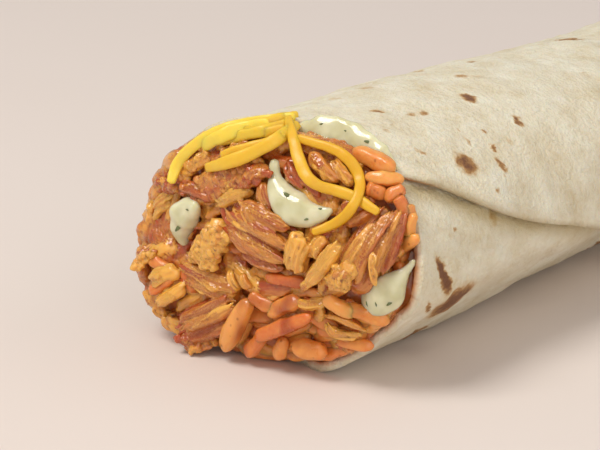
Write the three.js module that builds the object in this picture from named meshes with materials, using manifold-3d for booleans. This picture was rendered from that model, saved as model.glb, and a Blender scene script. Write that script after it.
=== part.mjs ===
// A chicken and rice burrito, cut open at one end and tucked shut at the other.
// Millimetres, +Z up. It lies along X with the open end towards -X.
import * as THREE from "three";
import Module from "manifold-3d";
import { mergeVertices } from "three/addons/utils/BufferGeometryUtils.js";

const wasm = await Module();
wasm.setup();

const TAU = Math.PI * 2;
const { clamp, degToRad, lerp, smoothstep } = THREE.MathUtils;

// The roll: its length from the cut rim to the tucked end, and the section of its innermost turn.
const LENGTH = 145;
const END_LENGTH = 26;
const HALF_WIDTH = 24.8;
const HALF_HEIGHT = 16.4;
const MOUTH_WIDER = 2.0;
const MOUTH_TALLER = 2.2;
const MOUTH_REACH = 30;
const SECTION_POWER = 2.08;
const LOW_CORNER = { flatter: 0.65, at: 213, width: 36 };
const SETTLED_AT = 25;
const UNEVEN = { width: 0.014, widthPeriod: 17, widthPhase: 0.8, lump: 0.35, lumps: 3, lumpPeriod: 15 };
const SWELL = { height: 0.033, at: 40, width: 28 };
const SINK = { height: 0.074, from: 48.6, to: 107.8 };
const END_POWER = { width: 3.4, height: 2.4 };
const END_DROP = 0.38;
const TINY_STEP = 1e-3;
const WELD = 1e-5;

// The tortilla: one round sheet, rolled up with its last edge along the near side.
const SHEET = 1.7;
const LAYER_GAP = 0.3;
const PITCH = SHEET + LAYER_GAP;
const SHEET_START = degToRad(-12);
const TORTILLA_RADIUS = 127;
const TORTILLA_MIDDLE = 58;
const SEAM_START = degToRad(360 + 131.4);
const SEAM_PER_MM = degToRad(1.9);
const SEAM_DRIFT = degToRad(0.58);
const EDGE_THINNING = 0.45;
const FLAT_DEPTH = 1.0;
const RIM_WAVES = [{ height: 0.42, times: 3, phase: 1 }, { height: 0.28, times: 7, phase: 2.3 }];
const RIM_HUMPS = [{ height: 3.5, at: 115, width: 35 }, { height: -2.4, at: 203, width: 30 }];
const ROW_STEP = degToRad(10);
const FULL_ROWS = 45;
const SEAM_ROWS = 7;
const STATIONS = [8, 20, 34, 48, 62, 76, 90, 104, 117, 126, 132.5, 137, 140.2, 142.5, 143.9, 144.6];
const TUCK = { x: 143.2, length: 6.8, width: 12.6, height: 6.4, sides: 16, rings: 8 };

// The filling: how far it heaps out of the rim, and how far it runs back.
const CLEAR = 0.35;
const FILL_END = 134;
const SPILL = 0.09;
const LOW_SPILL = { most: 0.15, at: 319, width: 32 };
const NEAR_SIDE = { at: 165, width: 42 };
const LIP_GAP = 1.2;
const RECESS = 3.2;
const BULGE = 2.8;
const HEAP_FRONT = -6.5;
const HEAP_MIDDLE = 21.5;
const TABLE_CLEAR = 0.3;
const FILL_SIDES = 36;
const STEP_DOWN = degToRad(30);
const HOLLOW_STATIONS = [FILL_END, 126, 116, 90, 60, 30, 12];

// Loops of the heap as [widening, how far forward, share of the way out], from the wall round to its front.
const HEAP_LOOPS = [
  [0, 0, 1], [0.7, 0.04, 1], [1, 0.45, 1], [0.6, 1, 1], [0.6, 1, 0.84], [0.6, 1, 0.62], [0.6, 1, 0.36],
];
const SLEEVE = { thickness: 16, length: 30, middle: 12, tighter: 0.04, edge: 0.1 };
const RAY_START = -60;
const OVERHANG = { least: 0.5, step: 0.02 };

// The shredded chicken leans one way in each tuft: [across, up] seen from the open end, and degrees.
const TUFTS = [
  { at: [-23, 24], lean: 47 },
  { at: [-16, 31], lean: 8 },
  { at: [-15, 10], lean: 28 },
  { at: [-1, 26], lean: -32 },
  { at: [-4, 17], lean: 6 },
  { at: [11, 24], lean: 62 },
  { at: [19, 26], lean: 66 },
  { at: [9, 37], lean: -28 },
];
const SHRED = { spacing: 5.2, length: 12, width: 3.8, thickness: 2.8, lift: 1.0, seed: 11 };
const GRAIN = { spacing: 3.7, length: 9.0, width: 2.8, thickness: 2.4, lift: 0.8, seed: 23 };
const PIECE = { sides: 6, rings: 2, crown: 0.5, taper: 0.45 };
const VARIED = { shortest: 0.75, longest: 1.25, narrowest: 0.85, widest: 1.15 };
const SCATTER = { lowest: 1.5, highest: 44, side: 31, shake: 0.8, closer: 0.9 };
const LIP = { from: degToRad(-130), to: degToRad(125), step: degToRad(9) };
const LIP_GAPS = { closest: 0.7, farthest: 1.3 };
const LIP_SLANT = { most: degToRad(10), back: 0.3 };
const LIP_INWARD = { share: 0.12, from: 0.7 };
const LIP_ROUTE = [[-1, 0.15], [0.3, 0.7], [1.4, 1.5]];
const RICE_LEAN = { flat: 14, steep: 75, steepFrom: 17, spread: 100 };
const SHRED_SPREAD = 24;

// Edge of the rice as [across, up], from the table on the far side round to the top of the rim.
const RICE_EDGE = [
  [-13, -2], [-8, 9], [0, 12.4], [8, 14.4], [15, 14.2], [21, 16.5], [24.4, 22], [24, 28.5], [20.5, 32.5],
  [15, 36], [12.5, 50],
];

// The rice runs along the roll as a bar with that edge, which reaches well past the roll elsewhere.
const RICE_BAR = { side: -60, bottom: -20, top: 60, edgeSteps: 24, start: -40, length: 200 };

// Strands of cheese as [across, up] routes, which lie this far out of the heap's core.
const CHEESE = { thickness: 1.7, lift: 3.6, grow: 0.3, sides: 6, taper: 0.12 };
const STRANDS = [
  { route: [[-20, 31.5], [-18.3, 35.4], [-13.5, 39], [-8, 41.3], [-2, 42.6], [2.5, 43.2]], width: 2.1 },
  { route: [[-11.5, 35.2], [-6.7, 37.1], [-1.7, 39.6], [2.5, 41.6]], width: 2.8 },
  { route: [[-9.4, 37.8], [-5.4, 39.7], [-0.6, 41.2]], width: 2.4 },
  {
    route: [[0.4, 42.6], [3.4, 42.2], [5.6, 39.8], [7.6, 37.4], [10.8, 35.4], [14.6, 34.6], [20.4, 32.8]],
    width: 2.1,
  },
  {
    route: [
      [1.6, 42.2], [6.6, 41.6], [11.3, 41.9], [15.4, 40.2], [17.4, 36.8], [17.4, 33.2], [15.4, 30.6],
      [11, 28.9],
    ],
    width: 2.0,
  },
];

// Spoonfuls of sauce: a route in [across, up, lift], and the half width at each of its points.
const SAUCE = { flatness: 0.62, sides: 10, rings: 9, grow: 0.3, taper: 0.35 };
const DOLLOPS = {
  sauce_top: {
    route: [[4.5, 41.2, 2.4], [9, 41.4, 2.6], [14, 41, 2.4], [19, 39, 2.2], [22.8, 36.4, 2]],
    half: [1.8, 2.4, 2.0, 2.3, 1.2],
  },
  sauce_middle: {
    route: [[0.6, 37.6, 2.2], [2.2, 34, 2.6], [4.6, 31.4, 3], [8.6, 30.8, 2.8], [12.4, 32, 2.2]],
    half: [1.5, 2.2, 3.2, 3.1, 1.5],
  },
  sauce_left: { route: [[-15.6, 28.6, 2.4], [-16.2, 24.8, 3.2], [-15.4, 21, 2.4]], half: [2.4, 3.4, 2.2] },
  sauce_right: { route: [[25.4, 22.6, 2], [22.6, 18.4, 2.6], [18.6, 16.4, 2.4]], half: [1.6, 3.4, 2.4] },
};

const COLOURS = {
  tortilla: 0xd9ccb0,
  chicken: 0xbd7a3a,
  rice: 0xc9753a,
  cheese: 0xe5ab2e,
  sauce: 0xcfc79f,
};
const ROUGHNESS = { tortilla: 0.6, chicken: 0.6, rice: 0.6, cheese: 0.6, sauce: 0.25 };

// A repeatable draw between 0 and 1.
function makeDraw(seed) {
  let state = seed;
  return () => {
    state = (Math.imul(state, 1664525) + 1013904223) >>> 0;
    return state / 2 ** 32;
  };
}

// A smooth hump over an angle in degrees, 1 at its centre.
function hump(angle, { at, width }) {
  const away = THREE.MathUtils.euclideanModulo(angle - at + 180, 360) - 180;
  return Math.exp(-((away / width) ** 2));
}

function signedPower(value, power) {
  return Math.sign(value) * Math.abs(value) ** power;
}

const BOTTOM_OUTER = (PITCH * (degToRad(270) - SHEET_START)) / TAU + SHEET;

// A point of the innermost turn: 0 degrees is +Y, 90 is up, and the seam's side is 180.
function basePoint(angle, x) {
  const t = clamp((x - (LENGTH - END_LENGTH)) / END_LENGTH, 0, 1);
  const narrow = (1 - t ** END_POWER.width) ** (1 / END_POWER.width);
  const low = (1 - t ** END_POWER.height) ** (1 / END_POWER.height);
  const mouth = Math.exp(-x / MOUTH_REACH);
  const settled = smoothstep(x, 0, SETTLED_AT);
  const lump = UNEVEN.lump * settled * Math.sin(UNEVEN.lumps * angle + x / UNEVEN.lumpPeriod);
  const wider = 1 + UNEVEN.width * settled * Math.sin(x / UNEVEN.widthPeriod + UNEVEN.widthPhase);
  const swell = SWELL.height * Math.exp(-(((x - SWELL.at) / SWELL.width) ** 2));
  const sink = SINK.height * smoothstep(x, SINK.from, SINK.to);
  const taller = 1 + settled * (swell - sink);
  const halfWidth = (HALF_WIDTH + MOUTH_WIDER * mouth) * wider + lump;
  const halfHeight = (HALF_HEIGHT + MOUTH_TALLER * mouth) * taller;
  const degrees = THREE.MathUtils.euclideanModulo(THREE.MathUtils.radToDeg(angle), 360);
  const power = 2 / (SECTION_POWER - LOW_CORNER.flatter * hump(degrees, LOW_CORNER));
  const middle = halfHeight * (1 - END_DROP + END_DROP * low) + BOTTOM_OUTER - FLAT_DEPTH;
  const y = halfWidth * narrow * signedPower(Math.cos(angle), power);
  const z = middle + halfHeight * low * signedPower(Math.sin(angle), power);
  return new THREE.Vector3(x, y, z);
}

// The same point moved out along the surface's normal, and held above a floor where it lies flat.
function rollPoint(angle, x, offset, floor) {
  const around = basePoint(angle + TINY_STEP, x).sub(basePoint(angle - TINY_STEP, x));
  const along = basePoint(angle, x + TINY_STEP).sub(basePoint(angle, x - TINY_STEP));
  const normal = along.cross(around).normalize().negate();
  const point = basePoint(angle, x).addScaledVector(normal, offset);
  point.z = Math.max(point.z, floor);
  return point;
}

// How far the cut rim stands from x = 0 at an angle.
function rimShift(angle) {
  const degrees = THREE.MathUtils.radToDeg(angle);
  return RIM_HUMPS.reduce((sum, own) => sum + own.height * hump(degrees, own), 0);
}

// How much further the rim stands where it waves.
function rimWave(angle) {
  const heights = RIM_WAVES.map(({ height, times, phase }) => height * Math.sin(times * angle + phase));
  return heights.reduce((sum, height) => sum + height);
}

// The angle where the rolled sheet ends, round like the tortilla's own edge.
function seamAngle(x) {
  const chord = (away) => Math.sqrt(TORTILLA_RADIUS ** 2 - away ** 2);
  const reach = chord(x - TORTILLA_MIDDLE) - chord(TORTILLA_MIDDLE);
  return SEAM_START + SEAM_PER_MM * reach + SEAM_DRIFT * x;
}

// A closed mesh through loops of equally many points, between two tips, strips or round in a ring.
function skin(loops, { tips = null, ring = false } = {}) {
  const width = loops[0].length;
  const points = loops.flat();
  const faces = [];
  const last = ring ? loops.length : loops.length - 1;
  for (let row = 0; row < last; row += 1) {
    const next = (row + 1) % loops.length;
    for (let k = 0; k < width; k += 1) {
      const beside = (k + 1) % width;
      const [a, b, c, d] = [row * width + k, row * width + beside, next * width + beside, next * width + k];
      faces.push(a, b, c, a, c, d);
    }
  }
  if (tips) {
    points.push(...tips);
    const end = (loops.length - 1) * width;
    for (let k = 0; k < width; k += 1) {
      const beside = (k + 1) % width;
      faces.push(points.length - 2, beside, k);
      faces.push(points.length - 1, end + k, end + beside);
    }
  } else if (!ring) {
    for (let k = 0; k < width / 2 - 1; k += 1) {
      const [a, b, c, d] = [k, k + 1, width - 2 - k, width - 1 - k];
      faces.push(a, c, b, a, d, c);
      const end = (loops.length - 1) * width;
      faces.push(end + a, end + b, end + c, end + a, end + c, end + d);
    }
  }
  const geometry = new THREE.BufferGeometry().setFromPoints(points);
  geometry.setIndex(faces);
  return geometry;
}

// A solid for joining and cutting, from a closed geometry.
function toSolid(geometry) {
  const bare = geometry.clone();
  bare.deleteAttribute("normal");
  bare.deleteAttribute("uv");
  const merged = mergeVertices(bare, WELD);
  const corners = merged.attributes.position.array;
  const index = merged.index.array;
  const [a, b, c] = [new THREE.Vector3(), new THREE.Vector3(), new THREE.Vector3()];
  let volume = 0;
  for (let k = 0; k < index.length; k += 3) {
    a.fromArray(corners, 3 * index[k]);
    b.fromArray(corners, 3 * index[k + 1]);
    c.fromArray(corners, 3 * index[k + 2]);
    volume += a.dot(b.cross(c));
  }
  const triVerts = new Uint32Array(index);
  if (volume < 0) {
    triVerts.reverse();
  }
  const vertProperties = new Float32Array(corners);
  return new wasm.Manifold(new wasm.Mesh({ numProp: 3, vertProperties, triVerts }));
}

function toGeometry(solid) {
  const mesh = solid.getMesh();
  const geometry = new THREE.BufferGeometry();
  geometry.setAttribute("position", new THREE.BufferAttribute(new Float32Array(mesh.vertProperties), 3));
  geometry.setIndex(new THREE.BufferAttribute(new Uint32Array(mesh.triVerts), 1));
  geometry.computeVertexNormals();
  return geometry;
}

// The largest piece of a solid, without the scraps that a cut leaves.
function largest(solid) {
  return solid.decompose().reduce((best, piece) => (piece.volume() > best.volume() ? piece : best));
}

// The rolled sheet, with the knot of the tucked end in its middle.
function makeTortilla() {
  const rows = [];
  for (let k = 0; k <= FULL_ROWS + SEAM_ROWS; k += 1) {
    const pastFull = Math.max(k - FULL_ROWS, 0) / SEAM_ROWS;
    const thinning = 1 - EDGE_THINNING * smoothstep(k, FULL_ROWS + SEAM_ROWS - 2, FULL_ROWS + SEAM_ROWS);
    const fixed = SHEET_START + Math.min(k, FULL_ROWS) * ROW_STEP;
    const angleAt = (x) => lerp(fixed, seamAngle(x), pastFull);
    const rim = rimShift(angleAt(0)) + rimWave(angleAt(0));
    const stations = [rim, ...STATIONS];
    const side = (thickness) => stations.map((x) => {
      const angle = angleAt(x);
      const offset = (PITCH * (angle - SHEET_START)) / TAU + thickness * thinning;
      return rollPoint(angle, x, offset, SHEET - thickness);
    });
    rows.push([...side(SHEET), ...side(0).reverse()]);
  }
  const knot = new THREE.SphereGeometry(1, TUCK.sides, TUCK.rings).rotateZ(Math.PI / 2);
  knot.scale(TUCK.length, TUCK.width, TUCK.height);
  knot.translate(TUCK.x, 0, basePoint(0, STATIONS.at(-1)).z);
  return toSolid(skin(rows)).add(toSolid(knot));
}

// A point on the wall of the hollow inside the roll, this far clear of the sheet.
function hollowPoint(angle, x, clear) {
  const turn = angle - SHEET_START;
  const stepDown = 1 - smoothstep(turn, TAU - STEP_DOWN, TAU);
  return rollPoint(angle, x, ((PITCH * turn) / TAU) * stepDown - clear, SHEET + clear);
}

function roundAngles() {
  return Array.from({ length: FILL_SIDES }, (_, k) => SHEET_START + (TAU * k) / FILL_SIDES);
}

// A point of the heap that bulges out of the mouth: on its lip, or at a share of the way inward from it.
function heapPoint(angle, widening, forward, inward) {
  const degrees = THREE.MathUtils.radToDeg(angle);
  const near = hump(degrees, NEAR_SIDE);
  const spill = SPILL * (1 - near) + LOW_SPILL.most * hump(degrees, LOW_SPILL);
  const x = rimShift(angle) - LIP_GAP + (RECESS + LIP_GAP) * near - (forward * BULGE * spill) / SPILL;
  const wall = hollowPoint(angle, Math.max(x, 0), CLEAR);
  const point = new THREE.Vector3(x, 0, HEAP_MIDDLE).lerp(wall.setX(x), (1 + widening * spill) * inward);
  point.x = lerp(HEAP_FRONT, x, inward ** 3);
  point.z = Math.max(point.z, TABLE_CLEAR);
  return point;
}

// All that lies inside the roll, with the heap that bulges out of its mouth.
function makeHeap() {
  const angles = roundAngles();
  const loops = HOLLOW_STATIONS.map((x) => angles.map((angle) => hollowPoint(angle, x, CLEAR)));
  for (const [widening, forward, inward] of HEAP_LOOPS) {
    loops.push(angles.map((angle) => heapPoint(angle, widening, forward, inward)));
  }
  const back = new THREE.Vector3(FILL_END, 0, basePoint(0, FILL_END).z);
  return skin(loops, { tips: [back, new THREE.Vector3(HEAP_FRONT, 0, HEAP_MIDDLE)] });
}

// A thick sleeve round the hollow, which keeps the heap's pieces off the sheet and its rim.
function makeSleeve() {
  const loops = roundAngles().map((angle) => {
    const start = rimShift(angle) - LIP_GAP + SLEEVE.edge;
    const wall = (x) => hollowPoint(angle, Math.max(x, 0), CLEAR - SLEEVE.tighter).setX(x);
    const inner = [start, SLEEVE.middle, SLEEVE.length].map(wall);
    const far = rollPoint(angle, 0, SLEEVE.thickness, -SLEEVE.thickness);
    const outer = [far.clone().setX(SLEEVE.length), far.setX(start)];
    return [...inner, ...outer];
  });
  return toSolid(skin(loops, { ring: true }));
}

// A closed, tapered piece along a curve, flattened towards the heap's front.
function limb(curve, halfWidthAt, flatness, sides, rings) {
  const out = new THREE.Vector3(-1, 0, 0);
  const loops = [];
  for (let k = 1; k <= rings; k += 1) {
    const along = k / (rings + 1);
    const centre = curve.getPointAt(along);
    const across = curve.getTangentAt(along).cross(out).normalize();
    const thick = across.clone().cross(curve.getTangentAt(along)).normalize();
    const half = halfWidthAt(along);
    loops.push(Array.from({ length: sides }, (_, side) => {
      const turn = (TAU * (side + 0.5)) / sides;
      const point = centre.clone().addScaledVector(across, half * Math.cos(turn));
      return point.addScaledVector(thick, half * flatness * Math.sin(turn));
    }));
  }
  return skin(loops, { tips: [curve.getPointAt(0), curve.getPointAt(1)] });
}

const heapGeometry = makeHeap();
const heapMesh = new THREE.Mesh(heapGeometry, new THREE.MeshBasicMaterial({ side: THREE.DoubleSide }));

// The point this far out of the heap's front, seen at [across, up] from the open end.
function onHeap(across, up, lift) {
  const caster = new THREE.Raycaster(new THREE.Vector3(RAY_START, -across, up), new THREE.Vector3(1, 0, 0));
  const hit = caster.intersectObject(heapMesh)[0];
  return hit ? hit.point.add(new THREE.Vector3(-lift, 0, 0)) : null;
}

// The same for a topping, which may also hang over the heap's outline.
function overHeap(across, up, lift) {
  for (let inward = 1; inward > OVERHANG.least; inward -= OVERHANG.step) {
    const point = onHeap(across * inward, lerp(HEAP_MIDDLE, up, inward), lift);
    if (point) {
      return point.setY(-across).setZ(up);
    }
  }
  return null;
}

// The rice's part of the section, grown or shrunk, as a bar along the whole roll.
function riceBar(grow) {
  const edge = new THREE.SplineCurve(RICE_EDGE.map(([across, up]) => new THREE.Vector2(-across, up)));
  const outline = new THREE.Shape();
  outline.moveTo(RICE_BAR.side, RICE_BAR.bottom);
  for (let k = 0; k <= RICE_BAR.edgeSteps; k += 1) {
    const along = k / RICE_BAR.edgeSteps;
    const tangent = edge.getTangentAt(along);
    const point = edge.getPointAt(along).add(new THREE.Vector2(-tangent.y, tangent.x).multiplyScalar(-grow));
    outline.lineTo(point.x, point.y);
  }
  outline.lineTo(RICE_BAR.side, RICE_BAR.top);
  const bar = new THREE.ExtrudeGeometry(outline, { depth: RICE_BAR.length, bevelEnabled: false, steps: 1 });
  bar.applyMatrix4(new THREE.Matrix4().makeBasis(
    new THREE.Vector3(0, 1, 0), new THREE.Vector3(0, 0, 1), new THREE.Vector3(1, 0, 0),
  ));
  return bar.translate(RICE_BAR.start, 0, 0);
}

const riceMesh = new THREE.Mesh(riceBar(0), new THREE.MeshBasicMaterial({ side: THREE.DoubleSide }));

// Whether a place seen from the open end is in the rice.
function inRice(across, up) {
  const caster = new THREE.Raycaster(new THREE.Vector3(RAY_START, -across, up), new THREE.Vector3(1, 0, 0));
  return caster.intersectObject(riceMesh).length > 0;
}

// One bent, tapered piece through three points.
function makePiece(points, size) {
  const half = (along) => (size.width / 2) * Math.sin(Math.PI * along) ** PIECE.taper;
  const curve = new THREE.CatmullRomCurve3(points);
  return toSolid(limb(curve, half, size.thickness / size.width, PIECE.sides, PIECE.rings));
}

// The same kind of piece in another length and width.
function vary(size, draw) {
  const length = size.length * lerp(VARIED.shortest, VARIED.longest, draw());
  return { ...size, length, width: size.width * lerp(VARIED.narrowest, VARIED.widest, draw()) };
}

// A piece laid on the heap's front, or nothing where an end would leave its own filling.
function layPiece(at, lean, size, ownGround) {
  const reach = new THREE.Vector2(Math.cos(lean), Math.sin(lean)).multiplyScalar(size.length / 2);
  const places = [-1, 0, 1].map((way) => [at[0] + way * reach.x, at[1] + way * reach.y]);
  const points = places.map(([across, up], k) => onHeap(across, up, size.lift + (k === 1 ? PIECE.crown : 0)));
  const own = places.every((place) => ownGround(...place));
  return own && !points.includes(null) ? makePiece(points, size) : null;
}

// Pieces spread over the heap's front on a shaken grid.
function scatter(size, leanAt, ownGround) {
  const draw = makeDraw(size.seed);
  const pieces = [];
  for (let up = SCATTER.lowest; up < SCATTER.highest; up += size.spacing * SCATTER.closer) {
    for (let across = -SCATTER.side; across < SCATTER.side; across += size.spacing) {
      const shake = () => (draw() - 0.5) * size.spacing * SCATTER.shake;
      const at = [across + shake(), up + shake()];
      pieces.push(layPiece(at, leanAt(at, draw), vary(size, draw), ownGround));
    }
  }
  return pieces.filter(Boolean);
}

// Pieces side by side round the heap's lip, slanting over it.
function edge(size, ownGround) {
  const draw = makeDraw(size.seed + 1);
  const pieces = [];
  const nextGap = () => LIP.step * lerp(LIP_GAPS.closest, LIP_GAPS.farthest, draw());
  for (let angle = LIP.from; angle < LIP.to; angle += nextGap()) {
    const slant = LIP_SLANT.most * (draw() - LIP_SLANT.back);
    const own = vary(size, draw);
    const points = LIP_ROUTE.map(([way, forward]) => {
      const turn = angle + way * slant;
      const inward = 1 - LIP_INWARD.share * Math.max(forward - LIP_INWARD.from, 0);
      return heapPoint(turn, 1, forward * (own.length / size.length), inward);
    });
    if (points.every((point) => ownGround(-point.y, point.z))) {
      pieces.push(makePiece(points, own));
    }
  }
  return pieces;
}

function chickenLean([across, up], draw) {
  const away = (tuft) => Math.hypot(across - tuft.at[0], up - tuft.at[1]);
  const nearest = TUFTS.reduce((best, tuft) => (away(tuft) < away(best) ? tuft : best));
  return degToRad(nearest.lean + SHRED_SPREAD * (draw() - 0.5));
}

function riceLean([across], draw) {
  const lean = across > RICE_LEAN.steepFrom ? RICE_LEAN.steep : RICE_LEAN.flat;
  return degToRad(lean + RICE_LEAN.spread * (draw() - 0.5));
}

// One strand of cheese, straight through its route's points, grown all round by the given amount.
function makeStrand({ route, width }, grow) {
  const curve = new THREE.CatmullRomCurve3(route.map(([across, up]) => overHeap(across, up, CHEESE.lift)));
  const half = width / 2 + grow;
  const flatness = (CHEESE.thickness / 2 + grow) / half;
  const taper = (along) => half * Math.sin(Math.PI * along) ** CHEESE.taper;
  return toSolid(limb(curve, taper, flatness, CHEESE.sides, 2 * route.length + 1));
}

function makeCheese(grow) {
  return wasm.Manifold.union(STRANDS.map((strand) => makeStrand(strand, grow)));
}

function makeDollop({ route, half }, grow) {
  const curve = new THREE.CatmullRomCurve3(route.map((place) => overHeap(...place)));
  const widths = new THREE.CatmullRomCurve3(half.map((value, k) => new THREE.Vector3(k, value, 0)));
  const halfAt = (along) => widths.getPoint(along).y * Math.sin(Math.PI * along) ** SAUCE.taper + grow;
  return toSolid(limb(curve, halfAt, SAUCE.flatness, SAUCE.sides, SAUCE.rings));
}

const sleeve = makeSleeve();
const cheese = makeCheese(0).subtract(sleeve);
const grownCheese = makeCheese(CHEESE.grow);
const solids = { tortilla: makeTortilla(), cheese: largest(cheese) };
let toppings = grownCheese;
for (const [name, dollop] of Object.entries(DOLLOPS)) {
  solids[name] = largest(makeDollop(dollop, 0).subtract(sleeve).subtract(grownCheese));
  toppings = toppings.add(makeDollop(dollop, SAUCE.grow));
}
const heap = toSolid(heapGeometry);
const keepOff = toppings.add(sleeve);
const inChicken = (across, up) => !inRice(across, up);
const shreds = [...scatter(SHRED, chickenLean, inChicken), ...edge(SHRED, inChicken)];
const grains = [...scatter(GRAIN, riceLean, inRice), ...edge(GRAIN, inRice)];
const chicken = wasm.Manifold.union([heap, ...shreds]).subtract(toSolid(riceBar(CLEAR / 2)));
const rice = wasm.Manifold.union([heap, ...grains]).intersect(toSolid(riceBar(-CLEAR / 2)));
solids.chicken = largest(chicken.subtract(keepOff).trimByPlane([0, 0, 1], TABLE_CLEAR));
solids.rice = largest(rice.subtract(keepOff).trimByPlane([0, 0, 1], TABLE_CLEAR));

// Each solid becomes a named mesh in its own colour.
const burrito = new THREE.Group();
for (const [name, solid] of Object.entries(solids)) {
  const kind = name.split("_")[0];
  const material = new THREE.MeshStandardMaterial({
    color: COLOURS[kind],
    roughness: ROUGHNESS[kind],
    metalness: 0,
  });
  const mesh = new THREE.Mesh(toGeometry(solid), material);
  mesh.name = name;
  burrito.add(mesh);
}

// The origin is the middle of the burrito's footprint on the table.
const bounds = new THREE.Box3().setFromObject(burrito);
const middle = bounds.getCenter(new THREE.Vector3());
burrito.position.set(-middle.x, -middle.y, -bounds.min.z);

export default burrito;
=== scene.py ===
"""A chicken and rice burrito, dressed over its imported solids.

The roll's shape is worked out here in millimetres from the same driving dimensions as the solids, with the
cut rim at x = 0 and the table at z = 0, and each finished mesh is then moved into the frame in metres.
"""

import logging
import math
from dataclasses import dataclass, field
from enum import Enum

import bpy
import numpy as np
from mathutils import Matrix, Vector
from mathutils.bvhtree import BVHTree
from mathutils.kdtree import KDTree


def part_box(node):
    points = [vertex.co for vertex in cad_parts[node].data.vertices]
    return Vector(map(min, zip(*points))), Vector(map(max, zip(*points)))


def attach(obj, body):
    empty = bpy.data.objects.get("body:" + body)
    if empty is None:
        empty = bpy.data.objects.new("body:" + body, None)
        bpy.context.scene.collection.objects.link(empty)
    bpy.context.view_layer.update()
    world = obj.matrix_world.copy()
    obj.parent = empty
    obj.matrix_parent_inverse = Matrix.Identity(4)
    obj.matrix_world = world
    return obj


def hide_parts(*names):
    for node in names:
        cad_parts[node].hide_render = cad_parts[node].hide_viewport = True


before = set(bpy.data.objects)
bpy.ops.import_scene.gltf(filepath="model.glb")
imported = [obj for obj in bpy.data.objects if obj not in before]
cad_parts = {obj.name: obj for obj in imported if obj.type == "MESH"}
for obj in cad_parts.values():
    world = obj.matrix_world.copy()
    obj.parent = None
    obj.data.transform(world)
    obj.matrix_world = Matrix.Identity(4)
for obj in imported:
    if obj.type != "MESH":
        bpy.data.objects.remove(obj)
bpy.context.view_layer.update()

log = logging.getLogger("burrito")

MM = 0.001
TAU = 2 * math.pi
BODY = "root"
SHORTEST = 1e-9
FAR = 99.0

Array = np.ndarray


def linear(hex_colour: str) -> tuple[float, float, float, float]:
    """Turns an sRGB hex colour to linear light.

    Args:
        hex_colour: Six hex digits after a hash sign.

    Returns:
        Red, green, blue and an alpha of 1.
    """
    values = [int(hex_colour[k:k + 2], 16) / 255 for k in (1, 3, 5)]
    bright = [v / 12.92 if v <= 0.04045 else ((v + 0.055) / 1.055) ** 2.4 for v in values]
    return (*bright, 1.0)


def smooth_step(value: Array, low: float, high: float) -> Array:
    """Returns a soft ramp from 0 at low to 1 at high."""
    share = np.clip((value - low) / (high - low), 0, 1)
    return share * share * (3 - 2 * share)


def hump(degrees: Array, centre: float, width: float) -> Array:
    """Returns a smooth hump over an angle in degrees, 1 at its centre."""
    away = (degrees - centre + 180) % 360 - 180
    return np.exp(-(away / width) ** 2)


def lattice_noise(points: Array, period: float, seed: int) -> Array:
    """Draws smooth noise from a repeatable lattice.

    Args:
        points: Places, one row of three each.
        period: Size of a lattice cell, in the points' units.
        seed: Picks the pattern.

    Returns:
        A value between -1 and 1 for each place.
    """
    scaled = points / period
    cell = np.floor(scaled).astype(np.int64)
    part = scaled - cell
    part = part * part * (3 - 2 * part)
    total = np.zeros(len(points))
    for corner in range(8):
        step = np.array([corner & 1, corner >> 1 & 1, corner >> 2 & 1])
        at = cell + step
        mixed = at[:, 0] * 73856093 ^ at[:, 1] * 19349663 ^ at[:, 2] * 83492791 ^ seed * 2654435761
        mixed = (mixed ^ mixed >> 13) * 1274126177 & 0x7FFFFFFF
        value = (mixed ^ mixed >> 16) % 65536 / 32768 - 1
        total += value * np.prod(np.where(step, part, 1 - part), axis=1)
    return total


def unit(vector: Array) -> Array:
    """Returns the vector at length 1."""
    return vector / max(float(np.linalg.norm(vector)), SHORTEST)


def unit_rows(vectors: Array) -> Array:
    """Returns every vector of the last axis at length 1."""
    return vectors / np.maximum(np.linalg.norm(vectors, axis=-1, keepdims=True), SHORTEST)


def along_line(line: Array, share: Array | float) -> Array:
    """Returns the places at shares of the way along a line of evenly spread points."""
    even = np.linspace(0, 1, len(line))
    return np.stack([np.interp(share, even, line[:, axis]) for axis in range(3)], -1)


def evened(values: Array, rounds: int) -> Array:
    """Returns a row of values, with each but the first and last drawn towards its neighbours."""
    for _ in range(rounds):
        between = (values[:-2] + 2 * values[1:-1] + values[2:]) / 4
        values = np.concatenate([values[:1], between, values[-1:]])
    return values


def new_mesh(name: str, points: Array, faces: list[tuple[int, ...]]) -> bpy.types.Mesh:
    """Builds a Blender mesh.

    Args:
        name: The mesh's name.
        points: Its points, one row each.
        faces: Point numbers of each face.

    Returns:
        The mesh.
    """
    made = bpy.data.meshes.new(name)
    made.from_pydata(points.tolist(), [], faces)
    made.update()
    return made


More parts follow.
